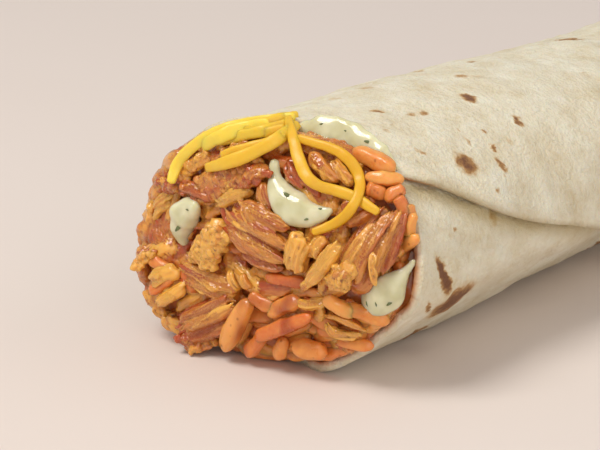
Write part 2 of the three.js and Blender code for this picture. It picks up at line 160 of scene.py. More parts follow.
@dataclass
class MeshParts:
    """Vertices and faces that grow piece by piece, in millimetres."""

    points: list[Array] = field(default_factory=list)
    faces: list[tuple[int, ...]] = field(default_factory=list)
    tags: list[Array] = field(default_factory=list)
    count: int = 0

    def add(self, points: Array, faces: list[tuple[int, ...]], tag: tuple[float, ...] = ()) -> None:
        """Adds a closed shape.

        Args:
            points: The shape's points, one row each.
            faces: Point numbers of each face.
            tag: Values that all its vertices carry.
        """
        self.points.append(points)
        self.faces.extend(tuple(k + self.count for k in face) for face in faces)
        self.tags.append(np.tile(np.array(tag, float), (len(points), 1)))
        self.count += len(points)

    def add_rows(self, rows: Array, tags: Array) -> None:
        """Adds a closed tube.

        Args:
            rows: Rings of points that follow each other.
            tags: Values of each point, one row each.
        """
        count, sides = rows.shape[:2]
        ends = np.stack([rows[0].mean(0), rows[-1].mean(0)])
        self.points.append(np.concatenate([rows.reshape(-1, 3), ends]))
        for face in grid_faces(count, sides) + tip_faces(count, sides):
            self.faces.append(tuple(k + self.count for k in face))
        self.tags.append(np.concatenate([tags, tags[:1], tags[-1:]]))
        self.count += count * sides + 2

    def mesh(self, name: str) -> bpy.types.Mesh:
        """Returns a Blender mesh of all that was added."""
        return new_mesh(name, np.concatenate(self.points), self.faces)

    def tag_values(self) -> Array:
        """Returns every vertex's tag, one row each."""
        return np.concatenate(self.tags)


def mesh_points(mesh: bpy.types.Mesh) -> Array:
    """Returns the places of a mesh's vertices, one row each."""
    flat = np.empty(len(mesh.vertices) * 3, np.float32)
    mesh.vertices.foreach_get("co", flat)
    return flat.reshape(-1, 3).astype(float)


def set_points(mesh: bpy.types.Mesh, points: Array) -> None:
    """Moves a mesh's vertices to new places."""
    mesh.vertices.foreach_set("co", points.astype(np.float32).ravel())
    mesh.update()


def vertex_normals(mesh: bpy.types.Mesh) -> Array:
    """Returns a mesh's vertex normals, one row each."""
    flat = np.empty(len(mesh.vertices) * 3, np.float32)
    mesh.vertex_normals.foreach_get("vector", flat)
    return flat.reshape(-1, 3).astype(float)


def point_tree(points: Array) -> KDTree:
    """Returns a tree that finds the points nearest to a place."""
    near = KDTree(len(points))
    for k, at in enumerate(points):
        near.insert(at, k)
    near.balance()
    return near


def mesh_tree(meshes: list[bpy.types.Mesh]) -> BVHTree:
    """Builds a tree for casting rays at several meshes at once.

    Args:
        meshes: The meshes, in the roll's own millimetres.

    Returns:
        The tree.
    """
    parts = MeshParts()
    for mesh in meshes:
        parts.add(mesh_points(mesh), [tuple(p.vertices) for p in mesh.polygons])
    return BVHTree.FromPolygons(np.concatenate(parts.points).tolist(), parts.faces)


def remeshed(mesh: bpy.types.Mesh, voxel: float) -> bpy.types.Mesh:
    """Joins all shapes of a mesh to one skin.

    Args:
        mesh: Overlapping closed shapes.
        voxel: Size of the grid that the skin is drawn on.

    Returns:
        A new mesh of one or more closed skins.
    """
    holder = bpy.data.objects.new("remesh_holder", mesh)
    bpy.context.scene.collection.objects.link(holder)
    modifier = holder.modifiers.new("skin", "REMESH")
    modifier.mode = "VOXEL"
    modifier.voxel_size = voxel
    graph = bpy.context.evaluated_depsgraph_get()
    skin = bpy.data.meshes.new_from_object(holder.evaluated_get(graph))
    bpy.data.objects.remove(holder)
    return skin


def neighbour_means(mesh: bpy.types.Mesh, rounds: int, share: float = 0.5) -> Array:
    """Smooths a mesh's vertices without changing the mesh.

    Args:
        mesh: The skin.
        rounds: How often each vertex moves towards the mean of its neighbours.
        share: How much of the way it moves.

    Returns:
        The smoothed places, one row each.
    """
    edges = np.empty(len(mesh.edges) * 2, np.int32)
    mesh.edges.foreach_get("vertices", edges)
    first, second = edges.reshape(-1, 2).T
    points = mesh_points(mesh)
    ends = np.concatenate([first, second])
    others = np.concatenate([second, first])
    degree = np.maximum(np.bincount(ends, minlength=len(points)), 1)[:, None]
    for _ in range(rounds):
        sums = [np.bincount(ends, weights=points[others, axis], minlength=len(points)) for axis in range(3)]
        points = points + share * (np.stack(sums, 1) / degree - points)
    return points


def hollowness(mesh: bpy.types.Mesh, rounds: int, reach: float) -> Array:
    """Measures how deep each vertex lies in a dip, 0 on ridges to 1 in clefts.

    Args:
        mesh: The skin to measure.
        rounds: Rounds of smoothing, which set the width of the dips.
        reach: Depth in millimetres that counts as 1.

    Returns:
        One value for each vertex.
    """
    depth = np.einsum("ij,ij->i", neighbour_means(mesh, rounds) - mesh_points(mesh), vertex_normals(mesh))
    return np.clip(0.5 + 0.5 * depth / reach, 0, 1)


def set_attribute(mesh: bpy.types.Mesh, name: str, values: Array) -> None:
    """Gives a mesh a number or a vector at each vertex.

    Args:
        mesh: The mesh.
        name: The name that the finish reads.
        values: A number, or a row of three, for each vertex.
    """
    vector = values.ndim == 2
    made = mesh.attributes.new(name, "FLOAT_VECTOR" if vector else "FLOAT", "POINT")
    made.data.foreach_set("vector" if vector else "value", values.astype(np.float32).ravel())


def grid_faces(rows: int, sides: int, turned: bool = False) -> list[tuple[int, ...]]:
    """Joins rings of points that follow each other.

    Args:
        rows: Number of rings.
        sides: Points in each ring.
        turned: Whether the faces look the other way.

    Returns:
        Four point numbers for each face.
    """
    row, k = np.divmod(np.arange((rows - 1) * sides), sides)
    low, high, beside = row * sides, (row + 1) * sides, (k + 1) % sides
    order = [low + k, high + k, high + beside, low + beside] if turned else [
        low + k, low + beside, high + beside, high + k]
    return [tuple(face) for face in np.stack(order, 1).tolist()]


def tip_faces(rows: int, sides: int, turned: bool = False) -> list[tuple[int, ...]]:
    """Closes both ends of such a grid with a tip each, which follow the grid's own points.

    Args:
        rows: Number of rings.
        sides: Points in each ring.
        turned: Whether the faces look the other way.

    Returns:
        Three point numbers for each face.
    """
    faces = []
    for k in range(sides):
        beside, last = (k + 1) % sides, (rows - 1) * sides
        faces.append((rows * sides, beside, k))
        faces.append((rows * sides + 1, last + k, last + beside))
    return [face[::-1] for face in faces] if turned else faces


def tube(centres: Array, radii: Array, sides: int, out: Array, flatness: float = 1.0,
         power: float = 1.0) -> tuple[Array, list]:
    """Makes a closed, tapered tube.

    Args:
        centres: Points of its middle line, one row each.
        radii: Its half width at each point.
        sides: Corners of its section.
        out: The direction that its flat side faces.
        flatness: Thickness as a share of width.
        power: Makes the section squarer below 1.

    Returns:
        Its points, and its faces.
    """
    tangents = unit_rows(np.gradient(centres, axis=0))
    across = unit_rows(np.cross(tangents, out))
    thick = np.cross(across, tangents)
    turns = TAU * (np.arange(sides) + 0.5) / sides
    aside = np.sign(np.cos(turns)) * np.abs(np.cos(turns)) ** power
    above = np.sign(np.sin(turns)) * np.abs(np.sin(turns)) ** power
    rings = centres[:, None] + radii[:, None, None] * (
        across[:, None] * aside[None, :, None] + flatness * thick[:, None] * above[None, :, None])
    points = np.concatenate([rings.reshape(-1, 3), centres[:1] - tangents[:1] * radii[0] * 0.5,
                             centres[-1:] + tangents[-1:] * radii[-1] * 0.5])
    return points, grid_faces(len(centres), sides) + tip_faces(len(centres), sides)


def smooth_route(places: Array, count: int) -> Array:
    """Draws a smooth curve through the given places.

    Args:
        places: The places, one row each.
        count: Number of points wanted.

    Returns:
        Points spread evenly along the curve.
    """
    padded = np.concatenate([2 * places[:1] - places[1:2], places, 2 * places[-1:] - places[-2:-1]])
    samples = []
    for k in range(len(places) - 1):
        a, b, c, d = padded[k:k + 4]
        for t in np.linspace(0, 1, 24, endpoint=k == len(places) - 2):
            samples.append(0.5 * (2 * b + (c - a) * t + (2 * a - 5 * b + 4 * c - d) * t ** 2
                                  + (3 * b - a - 3 * c + d) * t ** 3))
    line = np.array(samples)
    lengths = np.concatenate([[0], np.cumsum(np.linalg.norm(np.diff(line, axis=0), axis=1))])
    wanted = np.linspace(0, lengths[-1], count)
    return np.stack([np.interp(wanted, lengths, line[:, axis]) for axis in range(3)], 1)


@dataclass(frozen=True)
class PhotoView:
    """The photograph's viewpoint, in the roll's own millimetres."""

    azimuth: float = -50.5
    elevation: float = 19.5
    distance: float = 450.0
    mm_per_pixel: float = 0.1745
    target: tuple[float, float, float] = (0.0, 0.0, 22.0)
    target_pixel: tuple[float, float] = (291.0, 240.0)
    frame_pixels: tuple[int, int] = (600, 450)
    sensor: float = 36.0

    @property
    def axes(self) -> tuple[Array, Array, Array]:
        """The camera's right, up and back directions."""
        turn, rise = math.radians(self.azimuth), math.radians(self.elevation)
        back = np.array([math.sin(turn) * math.cos(rise), -math.cos(turn) * math.cos(rise), math.sin(rise)])
        right = np.array([math.cos(turn), math.sin(turn), 0.0])
        return right, np.cross(back, right), back

    @property
    def eye(self) -> Array:
        """The camera's place."""
        return np.array(self.target) + self.axes[2] * self.distance

    @property
    def aim(self) -> Array:
        """The direction of the frame's centre, turned so that the target falls on its own pixel."""
        right, up, back = self.axes
        aside = (self.frame_pixels[0] / 2 - self.target_pixel[0]) * self.mm_per_pixel
        above = (self.target_pixel[1] - self.frame_pixels[1] / 2) * self.mm_per_pixel
        return unit(right * aside + up * above - back * self.distance)

    def ray(self, pixel: tuple[float, float]) -> tuple[Array, Array]:
        """Works out the line of sight through a pixel.

        Args:
            pixel: Across and down in the photograph.

        Returns:
            The line's start and direction.
        """
        forward = self.aim
        right = unit(np.cross(forward, [0.0, 0.0, 1.0]))
        up = np.cross(right, forward)
        aside = (pixel[0] - self.frame_pixels[0] / 2) * self.mm_per_pixel / self.distance
        below = (pixel[1] - self.frame_pixels[1] / 2) * self.mm_per_pixel / self.distance
        return self.eye, unit(forward + right * aside - up * below)

    def make_camera(self, place: "Placement") -> bpy.types.Object:
        """Builds the camera at this viewpoint.

        Args:
            place: Where the roll lies in the frame.

        Returns:
            The camera.
        """
        data = bpy.data.cameras.new("camera")
        data.sensor_width = self.sensor
        data.lens = self.sensor * self.distance / self.mm_per_pixel / self.frame_pixels[0]
        data.clip_start = 0.01
        camera = bpy.data.objects.new("camera", data)
        camera.rotation_mode = "QUATERNION"
        camera.rotation_quaternion = Vector(self.aim).to_track_quat("-Z", "Y")
        camera.location = place.matrix() @ Vector(self.eye)
        bpy.context.scene.collection.objects.link(camera)
        bpy.context.scene.camera = camera
        return camera


@dataclass(frozen=True)
class Roll:
    """The rolled tortilla's shape, in millimetres, with the cut rim at x = 0."""

    length: float = 145.0
    end_length: float = 26.0
    half_width: float = 24.8
    half_height: float = 16.4
    mouth_wider: float = 2.0
    mouth_taller: float = 2.2
    mouth_reach: float = 30.0
    swell: tuple[float, float, float] = (0.033, 40.0, 28.0)
    sink: tuple[float, float, float] = (0.074, 48.6, 107.8)
    uneven_width: tuple[float, float, float] = (0.014, 17.0, 0.8)
    uneven_lump: tuple[float, float, float] = (0.35, 3.0, 15.0)
    settled_at: float = 25.0
    end_power: tuple[float, float] = (3.4, 2.4)
    end_drop: float = 0.38
    section_power: float = 2.08
    low_corner: tuple[float, float, float] = (0.65, 213.0, 36.0)
    sheet: float = 1.7
    pitch: float = 2.0
    start: float = math.radians(-12)
    disc_radius: float = 127.0
    disc_middle: float = 58.0
    seam_start: float = math.radians(360 + 131.4)
    seam_per_mm: float = math.radians(1.9)
    seam_drift: float = math.radians(0.58)
    seam_dip: tuple[float, float, float] = (math.radians(3.5), 11.0, 7.0)
    flat_depth: float = 1.0
    tuck_end: float = 150.0
    lump: float = 0.5
    lump_periods: tuple[float, float] = (13.0, 5.5)
    fine_lump_share: float = 0.45
    unrolled_radius: float = 30.0
    unrolled_height: float = 22.0
    rim_humps: tuple[tuple[float, float, float], ...] = ((3.5, 115.0, 35.0), (-2.4, 203.0, 30.0))
    step_down: float = math.radians(30)

    def base(self, angle: Array, x: Array) -> Array:
        """Works out points of the innermost turn.

        Args:
            angle: Turns from +Y over the top.
            x: Places along the roll.

        Returns:
            A point for each angle and place.
        """
        t = np.clip((x - (self.length - self.end_length)) / self.end_length, 0, 1)
        narrow, low = ((1 - t ** power) ** (1 / power) for power in self.end_power)
        mouth = np.exp(-x / self.mouth_reach)
        settled = smooth_step(x, 0, self.settled_at)
        share, period, phase = self.uneven_width
        wider = 1 + share * settled * np.sin(x / period + phase)
        share, at, reach = self.swell
        swell = share * np.exp(-((x - at) / reach) ** 2)
        share, start, end = self.sink
        taller = 1 + settled * (swell - share * smooth_step(x, start, end))
        lump, many, period = self.uneven_lump
        width = (self.half_width + self.mouth_wider * mouth) * wider
        width = width + lump * settled * np.sin(many * angle + x / period)
        height = (self.half_height + self.mouth_taller * mouth) * taller
        flatter, at, reach = self.low_corner
        power = 2 / (self.section_power - flatter * hump(np.degrees(angle), at, reach))
        bottom = self.pitch * (math.radians(270) - self.start) / TAU + self.sheet
        middle = height * (1 - self.end_drop + self.end_drop * low) + bottom - self.flat_depth
        cosine, sine = np.cos(angle), np.sin(angle)
        y = width * narrow * np.sign(cosine) * np.abs(cosine) ** power
        z = middle + height * low * np.sign(sine) * np.abs(sine) ** power
        return np.stack([x + 0 * angle, y, z], -1)

    def normal(self, angle: Array, x: Array) -> Array:
        """Works out the outward normals of the innermost turn.

        Args:
            angle: Turns from +Y over the top.
            x: Places along the roll.

        Returns:
            A direction for each angle and place.
        """
        step = 1e-3
        around = self.base(angle + step, x) - self.base(angle - step, x)
        along = self.base(angle, x + step) - self.base(angle, x - step)
        normal = -np.cross(along, around)
        return normal / np.maximum(np.linalg.norm(normal, axis=-1, keepdims=True), 1e-12)

    def lumps(self, angle: Array, x: Array) -> Array:
        """Works out how far the filling pushes the sheet out or lets it sink.

        Args:
            angle: Turns from +Y over the top.
            x: Places along the roll.

        Returns:
            A height in millimetres for each angle and place.
        """
        place = np.stack([*self.round_places(angle), x + 0 * angle], -1).reshape(-1, 3)
        broad, fine = (lattice_noise(place, period, seed) for period, seed in zip(self.lump_periods, (5, 6)))
        fade = smooth_step(x, 2, 16) * (1 - smooth_step(x, self.length - 8, self.length))
        return self.lump * (broad + self.fine_lump_share * fine).reshape(angle.shape) * fade

    def round_places(self, angle: Array) -> list[Array]:
        """Returns places round the section, to draw noise at."""
        return [self.unrolled_radius * np.cos(angle), self.unrolled_height * np.sin(angle)]

    def point(self, angle: Array, x: Array, offset: Array, floor: float) -> Array:
        """Works out points outside the innermost turn.

        Args:
            angle: Turns from +Y over the top.
            x: Places along the roll.
            offset: How far each point lies outside the innermost turn.
            floor: The least height above the table.

        Returns:
            A point for each angle and place.
        """
        moved = offset + self.lumps(angle, x)
        made = self.base(angle, x) + self.normal(angle, x) * moved[..., None]
        made[..., 2] = np.maximum(made[..., 2], floor)
        return made

    def rim_shift(self, angle: Array) -> Array:
        """Returns how far the cut rim stands from x = 0."""
        return sum(most * hump(np.degrees(angle), at, width) for most, at, width in self.rim_humps)

    def half_chord(self, away: Array | float) -> Array:
        """Returns half the round tortilla's width, this far from its middle."""
        return np.sqrt(self.disc_radius ** 2 - away ** 2)

    def seam_angle(self, x: Array) -> Array:
        """Works out the angle where the sheet ends, round like the tortilla's own edge.

        Args:
            x: Places along the roll.

        Returns:
            The angle at each place.
        """
        reach = self.half_chord(x - self.disc_middle) - self.half_chord(self.disc_middle)
        most, at, width = self.seam_dip
        dip = most * np.exp(-((x - at) / width) ** 2)
        return self.seam_start + self.seam_per_mm * reach + self.seam_drift * x - dip

    def hollow(self, angle: Array, x: Array, clear: float) -> Array:
        """Works out points of the hollow's wall inside the roll.

        Args:
            angle: Turns from the sheet's inner edge, within one round.
            x: Places along the roll.
            clear: The gap to the sheet.

        Returns:
            A point for each angle and place.
        """
        turn = angle - self.start
        step_down = 1 - smooth_step(turn, TAU - self.step_down, TAU)
        return self.point(angle, x, self.pitch * turn / TAU * step_down - clear, self.sheet + clear)


@dataclass(frozen=True)
class Placement:
    """Where the roll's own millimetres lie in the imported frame."""

    x: float
    y: float

    def matrix(self) -> Matrix:
        """Returns the move from the roll's millimetres to the frame's metres."""
        return Matrix.Translation((self.x, self.y, 0)) @ Matrix.Scale(MM, 4)


def add_node(tree: bpy.types.NodeTree, kind: str, inputs: dict | None = None, stops: list | None = None,
             **settings: object) -> bpy.types.Node:
    """Adds a shader node with its settings, values and links.

    Args:
        tree: The material's nodes.
        kind: The node's type, without the word that all shader nodes start with.
        inputs: For each input by name or number, a value, or an output or a node to link to it.
        stops: Place and hex colour of each stop, for a colour ramp.
        settings: Properties of the node itself.

    Returns:
        The new node.
    """
    node = tree.nodes.new("ShaderNode" + kind)
    for name, value in settings.items():
        setattr(node, name, value)
    for name, value in (inputs or {}).items():
        if isinstance(value, bpy.types.Node):
            value = next(output for output in value.outputs if output.enabled)
        if isinstance(value, bpy.types.NodeSocket):
            tree.links.new(value, node.inputs[name])
        else:
            node.inputs[name].default_value = value
    if stops:
        elements = node.color_ramp.elements
        while len(elements) < len(stops):
            elements.new(0.5)
        for element, (place, colour) in zip(elements, stops):
            element.position = place
            element.color = linear(colour)
    return node


def new_material(name: str) -> tuple[bpy.types.Material, bpy.types.NodeTree, bpy.types.Node]:
    """Starts a material with a plain shader.

    Args:
        name: The material's name.

    Returns:
        The material, its nodes and the shader.
    """
    material = bpy.data.materials.new(name)
    material.use_nodes = True
    tree = material.node_tree
    tree.nodes.clear()
    shader = add_node(tree, "BsdfPrincipled")
    add_node(tree, "OutputMaterial", {"Surface": shader.outputs[0]})
    return material, tree, shader


@dataclass(frozen=True)
class ToastSpot:
    """A browned spot, by the pixels at the ends of its long axis, its width in pixels and its darkness."""

    ends: tuple[float, float, float, float]
    width: float
    darkness: float


@dataclass(frozen=True)
class SheetSpot:
    """The same spot on the unrolled sheet, in millimetres."""

    centre: tuple[float, float]
    turn: float
    half: tuple[float, float]
    darkness: float


@dataclass(frozen=True)
class GriddledTortilla:
    """Wheat tortilla, pressed from dough and griddled: matt and floury, with brown blisters."""

    floury: str = "#ECE6D2"
    plain: str = "#E1D6BC"
    baked: str = "#D4C4A2"
    golden: str = "#D9BE86"
    toast: str = "#B98A50"
    char: str = "#744529"
    stain: str = "#C0702F"
    # The colour of the painted shade under the flap's edge.
    fold_shade: str = "#B39C62"
    mottle_mm: float = 7.0
    grain_mm: float = 0.9
    pore_mm: float = 0.45
    blister_mm: float = 21.0
    tear_mm: float = 1.6
    torn_by_mm: tuple[float, float] = (2.4, 8.0)
    soak_mm: float = 3.0

    def add_seen_spots(self, tree: bpy.types.NodeTree, place: bpy.types.Node,
                       spots: list[SheetSpot]) -> bpy.types.Node | None:
        """Draws each browned spot of the photograph as an ellipse on the unrolled sheet.

        Args:
            tree: The material's nodes.
            place: The place on the unrolled sheet, moved by noise.
            spots: The spots.

        Returns:
            The darkness of the spots, or nothing without spots.
        """
        total = None
        for spot in spots:
            local = add_node(tree, "Mapping", {
                "Vector": place, "Location": (*spot.centre, 0), "Rotation": (0, 0, spot.turn),
                "Scale": (*spot.half, 1e4)}, vector_type="TEXTURE")
            away = add_node(tree, "VectorMath", {0: local}, operation="LENGTH")
            share = add_node(tree, "MapRange", {
                0: away.outputs["Value"], 1: 1.75, 2: 0.25, 3: 0.0, 4: spot.darkness * 0.9},
                interpolation_type="SMOOTHSTEP")
            total = share if total is None else add_node(
                tree, "Math", {0: total, 1: share}, operation="MAXIMUM")
        return total

    def add_strewn_spots(self, tree: bpy.types.NodeTree, place: bpy.types.Node) -> bpy.types.Node:
        """Strews the same kind of spots cell by cell, for where the photograph doesn't look.

        Args:
            tree: The material's nodes.
            place: The place on the unrolled sheet, moved by noise.

        Returns:
            The darkness of the spots.
        """
        cells = add_node(tree, "TexVoronoi", {
            "Vector": place, "Scale": 1 / self.blister_mm, "Randomness": 1.0},
            voronoi_dimensions="2D")
        chance = add_node(tree, "SeparateColor", {0: cells.outputs["Color"]})
        size = add_node(tree, "MapRange", {0: chance.outputs[0], 1: 0.25, 2: 1.0, 3: 0.0, 4: 0.2})
        nearness = add_node(tree, "Math", {0: size, 1: cells.outputs["Distance"]},
                            operation="SUBTRACT")
        return add_node(tree, "MapRange", {
            0: nearness, 1: -0.04, 2: 0.08, 3: 0.0, 4: chance.outputs[1]},
            interpolation_type="SMOOTHSTEP")

    def build(self, spots: list[SheetSpot]) -> bpy.types.Material:
        """Builds the finish.

        Args:
            spots: The browned spots that have a place of their own.

        Returns:
            The material.
        """
        material, tree, shader = new_material("griddled_tortilla")
        place = add_node(tree, "Attribute", attribute_name="sheet_place").outputs["Vector"]
        body = add_node(tree, "TexCoord").outputs["Object"]
        apart = add_node(tree, "SeparateXYZ", {0: place})

        # Flour and dough take the heat unevenly, which gives the eye pale clouds on a warmer ground.
        clouds = add_node(tree, "TexNoise", {
            "Vector": body, "Scale": 1 / (self.mottle_mm * MM), "Detail": 5.0, "Roughness": 0.62})
        colour = add_node(tree, "ValToRGB", {0: clouds}, stops=[
            (0.32, self.baked), (0.50, self.plain), (0.66, self.floury)])
        grain = add_node(tree, "TexNoise", {
            "Vector": body, "Scale": 1 / (self.grain_mm * MM), "Detail": 3.0, "Roughness": 0.6})
        grain_share = add_node(tree, "MapRange", {
            0: grain, 1: 0.35, 2: 0.68, 3: 0.0, 4: 0.5})
        mixed = add_node(tree, "Mix", {
            0: grain_share, 6: colour, 7: linear(self.floury)}, data_type="RGBA")

        # Noise moves the places that the spots are drawn at, which tears their edges.
        warp = add_node(tree, "TexNoise", {"Vector": place, "Scale": 1 / self.tear_mm, "Detail": 3.0})
        centred = add_node(tree, "VectorMath", {0: warp.outputs["Color"], 1: (0.5, 0.5, 0.5)},
                           operation="SUBTRACT")
        shaken, torn = (add_node(tree, "VectorMath", {0: centred, 1: (far, far, 0.0), 2: place},
                                 operation="MULTIPLY_ADD") for far in self.torn_by_mm)
        total = self.add_seen_spots(tree, shaken, spots)
        strewn = self.add_strewn_spots(tree, torn)
        seen = add_node(tree, "Attribute", attribute_name="seen_in_photo").outputs["Fac"]
        unseen = add_node(tree, "Math", {0: 1.0, 1: seen}, operation="SUBTRACT")
        elsewhere = add_node(tree, "Math", {0: strewn, 1: unseen},
                             operation="MULTIPLY")
        if total is not None:
            elsewhere = add_node(tree, "Math", {0: total, 1: elsewhere}, operation="MAXIMUM")
        outside = add_node(tree, "MapRange", {0: apart.outputs[2], 1: 0.4, 2: 0.9, 3: 0.0, 4: 1.0})
        browned = add_node(tree, "Math", {0: elsewhere, 1: outside},
                           operation="MULTIPLY")
        uneven = add_node(tree, "Math", {
            0: browned, 1: add_node(tree, "MapRange", {
                0: grain, 1: 0.3, 2: 0.7, 3: 0.75, 4: 1.2}).outputs[0]}, operation="MULTIPLY")
        toast = add_node(tree, "ValToRGB", {0: uneven}, stops=[
            (0.0, self.golden), (0.4, self.toast), (0.85, self.char)])
        toast_share = add_node(tree, "MapRange", {0: uneven, 1: 0.06, 2: 0.5, 3: 0.0, 4: 0.95})
        with_toast = add_node(tree, "Mix", {
            0: toast_share, 6: mixed, 7: toast}, data_type="RGBA")

        # Painted shade: below the last edge, and faintly along the edge itself, the colour turns a darker
        # khaki.
        fold = add_node(tree, "Attribute", attribute_name="painted_fold_shade").outputs["Fac"]
        folded = add_node(tree, "Mix", {
            0: fold, 6: with_toast, 7: linear(self.fold_shade)}, data_type="RGBA")

        # The filling's oil soaks into the mouth, and stains the inner wall orange.
        soak_noise = add_node(tree, "TexNoise", {
            "Vector": body, "Scale": 1 / (self.soak_mm * MM), "Detail": 3.0})
        soak = add_node(tree, "Attribute", attribute_name="soaked").outputs["Fac"]
        soak_share = add_node(tree, "MapRange", {0: soak, 1: 0.15, 2: 1.0, 3: 0.0, 4: 1.0},
                              interpolation_type="SMOOTHSTEP")
        soaked = add_node(tree, "Math", {
            0: soak_share, 1: add_node(tree, "MapRange", {
                0: soak_noise, 1: 0.3, 2: 0.65, 3: 0.55, 4: 1.1}).outputs[0]},
            operation="MULTIPLY", use_clamp=True)
        final = add_node(tree, "Mix", {
            0: soaked, 6: folded, 7: linear(self.stain)}, data_type="RGBA")
        tree.links.new(final.outputs[2], shader.inputs["Base Color"])

        roughness = add_node(tree, "MapRange", {0: soaked, 1: 0.0, 2: 1.0, 3: 0.72, 4: 0.35})
        tree.links.new(roughness.outputs[0], shader.inputs["Roughness"])
        shader.inputs["IOR"].default_value = 1.4
        shader.inputs["Specular IOR Level"].default_value = 0.35
        shader.inputs["Subsurface Weight"].default_value = 0.25
        shader.inputs["Subsurface Radius"].default_value = (1.0, 0.7, 0.4)
        shader.inputs["Subsurface Scale"].default_value = 0.8 * MM

        # Pores and griddle marks are shallow, so they only catch the light.
        pores = add_node(tree, "TexNoise", {
            "Vector": body, "Scale": 1 / (self.pore_mm * 2 * MM), "Detail": 4.0, "Roughness": 0.65})
        height = add_node(tree, "Math", {0: clouds, 1: 0.9, 2: pores},
                          operation="MULTIPLY_ADD")
        bump = add_node(tree, "Bump", {
            "Strength": 0.9, "Distance": 0.7 * MM, "Height": height})
        tree.links.new(bump.outputs[0], shader.inputs["Normal"])
        return material


@dataclass(frozen=True)
class MoistFilling:
    """Seasoned food in oily sauce: soft and wet, so light sinks in a little and glints on its ridges."""

    name: str
    ridge: str
    middle: str
    cleft: str
    fleck: str
    streak_mm: float
    roughness: float = 0.3
    glow: float = 0.35
    bump_mm: float = 0.25
    speckled: float = 0.2
    coat: float = 0.8
    blotch_mm: float = 4.0
    speck_mm: float = 2.2

    def build(self) -> bpy.types.Material:
        """Builds the finish, which reads each vertex's tone, dip and grain.

        Returns:
            The material.
        """
        material, tree, shader = new_material(self.name)

        # Tone, streaks and blotches mix the middle and ridge colours, and the dip then pulls the colour
        # towards the cleft colour.
        tone = add_node(tree, "Attribute", attribute_name="tone").outputs["Fac"]
        dip = add_node(tree, "Attribute", attribute_name="dip").outputs["Fac"]
        place = add_node(tree, "Attribute", attribute_name="grain_place").outputs["Vector"]
        streaks = add_node(tree, "TexNoise", {
            "Vector": place, "Scale": 1 / self.streak_mm, "Detail": 3.0, "Roughness": 0.6})
        blotches = add_node(tree, "TexNoise", {
            "Vector": place, "Scale": 1 / self.blotch_mm, "Detail": 3.0})
        shade = add_node(tree, "Math", {0: streaks, 1: 0.55, 2: tone}, operation="MULTIPLY_ADD")
        varied = add_node(tree, "Math", {0: blotches, 1: 0.6, 2: shade},
                          operation="MULTIPLY_ADD")
        share = add_node(tree, "MapRange", {0: varied, 1: 0.62, 2: 1.42, 3: 0.0, 4: 1.0})
        ground = add_node(tree, "Mix", {
            0: share, 6: linear(self.middle), 7: linear(self.ridge)}, data_type="RGBA")
        # On the chicken and the core the dip is painted shade, a dark red-brown in clefts, dents and on each
        # piece's back; on the rice it only makes darker patches at random.
        deep = add_node(tree, "MapRange", {0: dip, 1: 0.52, 2: 0.88, 3: 0.0, 4: 0.9},
                        interpolation_type="SMOOTHSTEP")
        sunk = add_node(tree, "Mix", {
            0: deep, 6: ground, 7: linear(self.cleft)}, data_type="RGBA")

        # Ground spices stick to the sauce as specks about 0.4 mm across, drawn a little larger to show.
        specks = add_node(tree, "TexVoronoi", {
            "Vector": place, "Scale": 1 / self.speck_mm, "Randomness": 1.0})
        speck_share = add_node(tree, "MapRange", {
            0: specks.outputs["Distance"], 1: 0.08, 2: 0.17, 3: self.speckled, 4: 0.0})
        final = add_node(tree, "Mix", {
            0: speck_share, 6: sunk, 7: linear(self.fleck)}, data_type="RGBA")
        tree.links.new(final.outputs[2], shader.inputs["Base Color"])

        gloss = add_node(tree, "MapRange", {
            0: blotches, 1: 0.35, 2: 0.65, 3: self.roughness * 0.65, 4: self.roughness * 1.45})
        tree.links.new(gloss.outputs[0], shader.inputs["Roughness"])
        shader.inputs["IOR"].default_value = 1.45
        shader.inputs["Subsurface Weight"].default_value = self.glow
        shader.inputs["Subsurface Radius"].default_value = (1.0, 0.45, 0.18)
        shader.inputs["Subsurface Scale"].default_value = 1.6 * MM
        shader.inputs["Coat Weight"].default_value = self.coat
        shader.inputs["Coat Roughness"].default_value = 0.1
        bump = add_node(tree, "Bump", {
            "Strength": 0.6, "Distance": self.bump_mm * MM, "Height": streaks})
        tree.links.new(bump.outputs[0], shader.inputs["Normal"])
        return material


@dataclass(frozen=True)
class SoftCheddar:
    """Shredded cheddar, softened by the warm filling: waxy, with a broad soft shine."""

    body: str = "#DFA61B"
    pale: str = "#F7D651"
    pore_mm: float = 1.1

    def build(self) -> bpy.types.Material:
        """Builds the finish.

        Returns:
            The material.
        """
        material, tree, shader = new_material("soft_cheddar")

        # Warm fat melts to the surface, which gives the eye a deep yellow with a broad, soft shine.
        tone = add_node(tree, "Attribute", attribute_name="tone").outputs["Fac"]
        body = add_node(tree, "TexCoord").outputs["Object"]
        clouds = add_node(tree, "TexNoise", {
            "Vector": body, "Scale": 1 / (self.pore_mm * 3 * MM), "Detail": 3.0})
        share = add_node(tree, "Math", {0: clouds, 1: 0.3, 2: tone}, operation="MULTIPLY_ADD")
        mixed = add_node(tree, "Mix", {
            0: share, 6: linear(self.body), 7: linear(self.pale)}, data_type="RGBA")
        tree.links.new(mixed.outputs[2], shader.inputs["Base Color"])
        shader.inputs["Roughness"].default_value = 0.38
        shader.inputs["IOR"].default_value = 1.45
        shader.inputs["Subsurface Weight"].default_value = 0.4
        shader.inputs["Subsurface Radius"].default_value = (1.0, 0.6, 0.15)
        shader.inputs["Subsurface Scale"].default_value = 1.5 * MM
        pores = add_node(tree, "TexNoise", {
            "Vector": body, "Scale": 1 / (self.pore_mm * MM), "Detail": 3.0})
        bump = add_node(tree, "Bump", {
            "Strength": 0.35, "Distance": 0.15 * MM, "Height": pores})
        tree.links.new(bump.outputs[0], shader.inputs["Normal"])
        return material


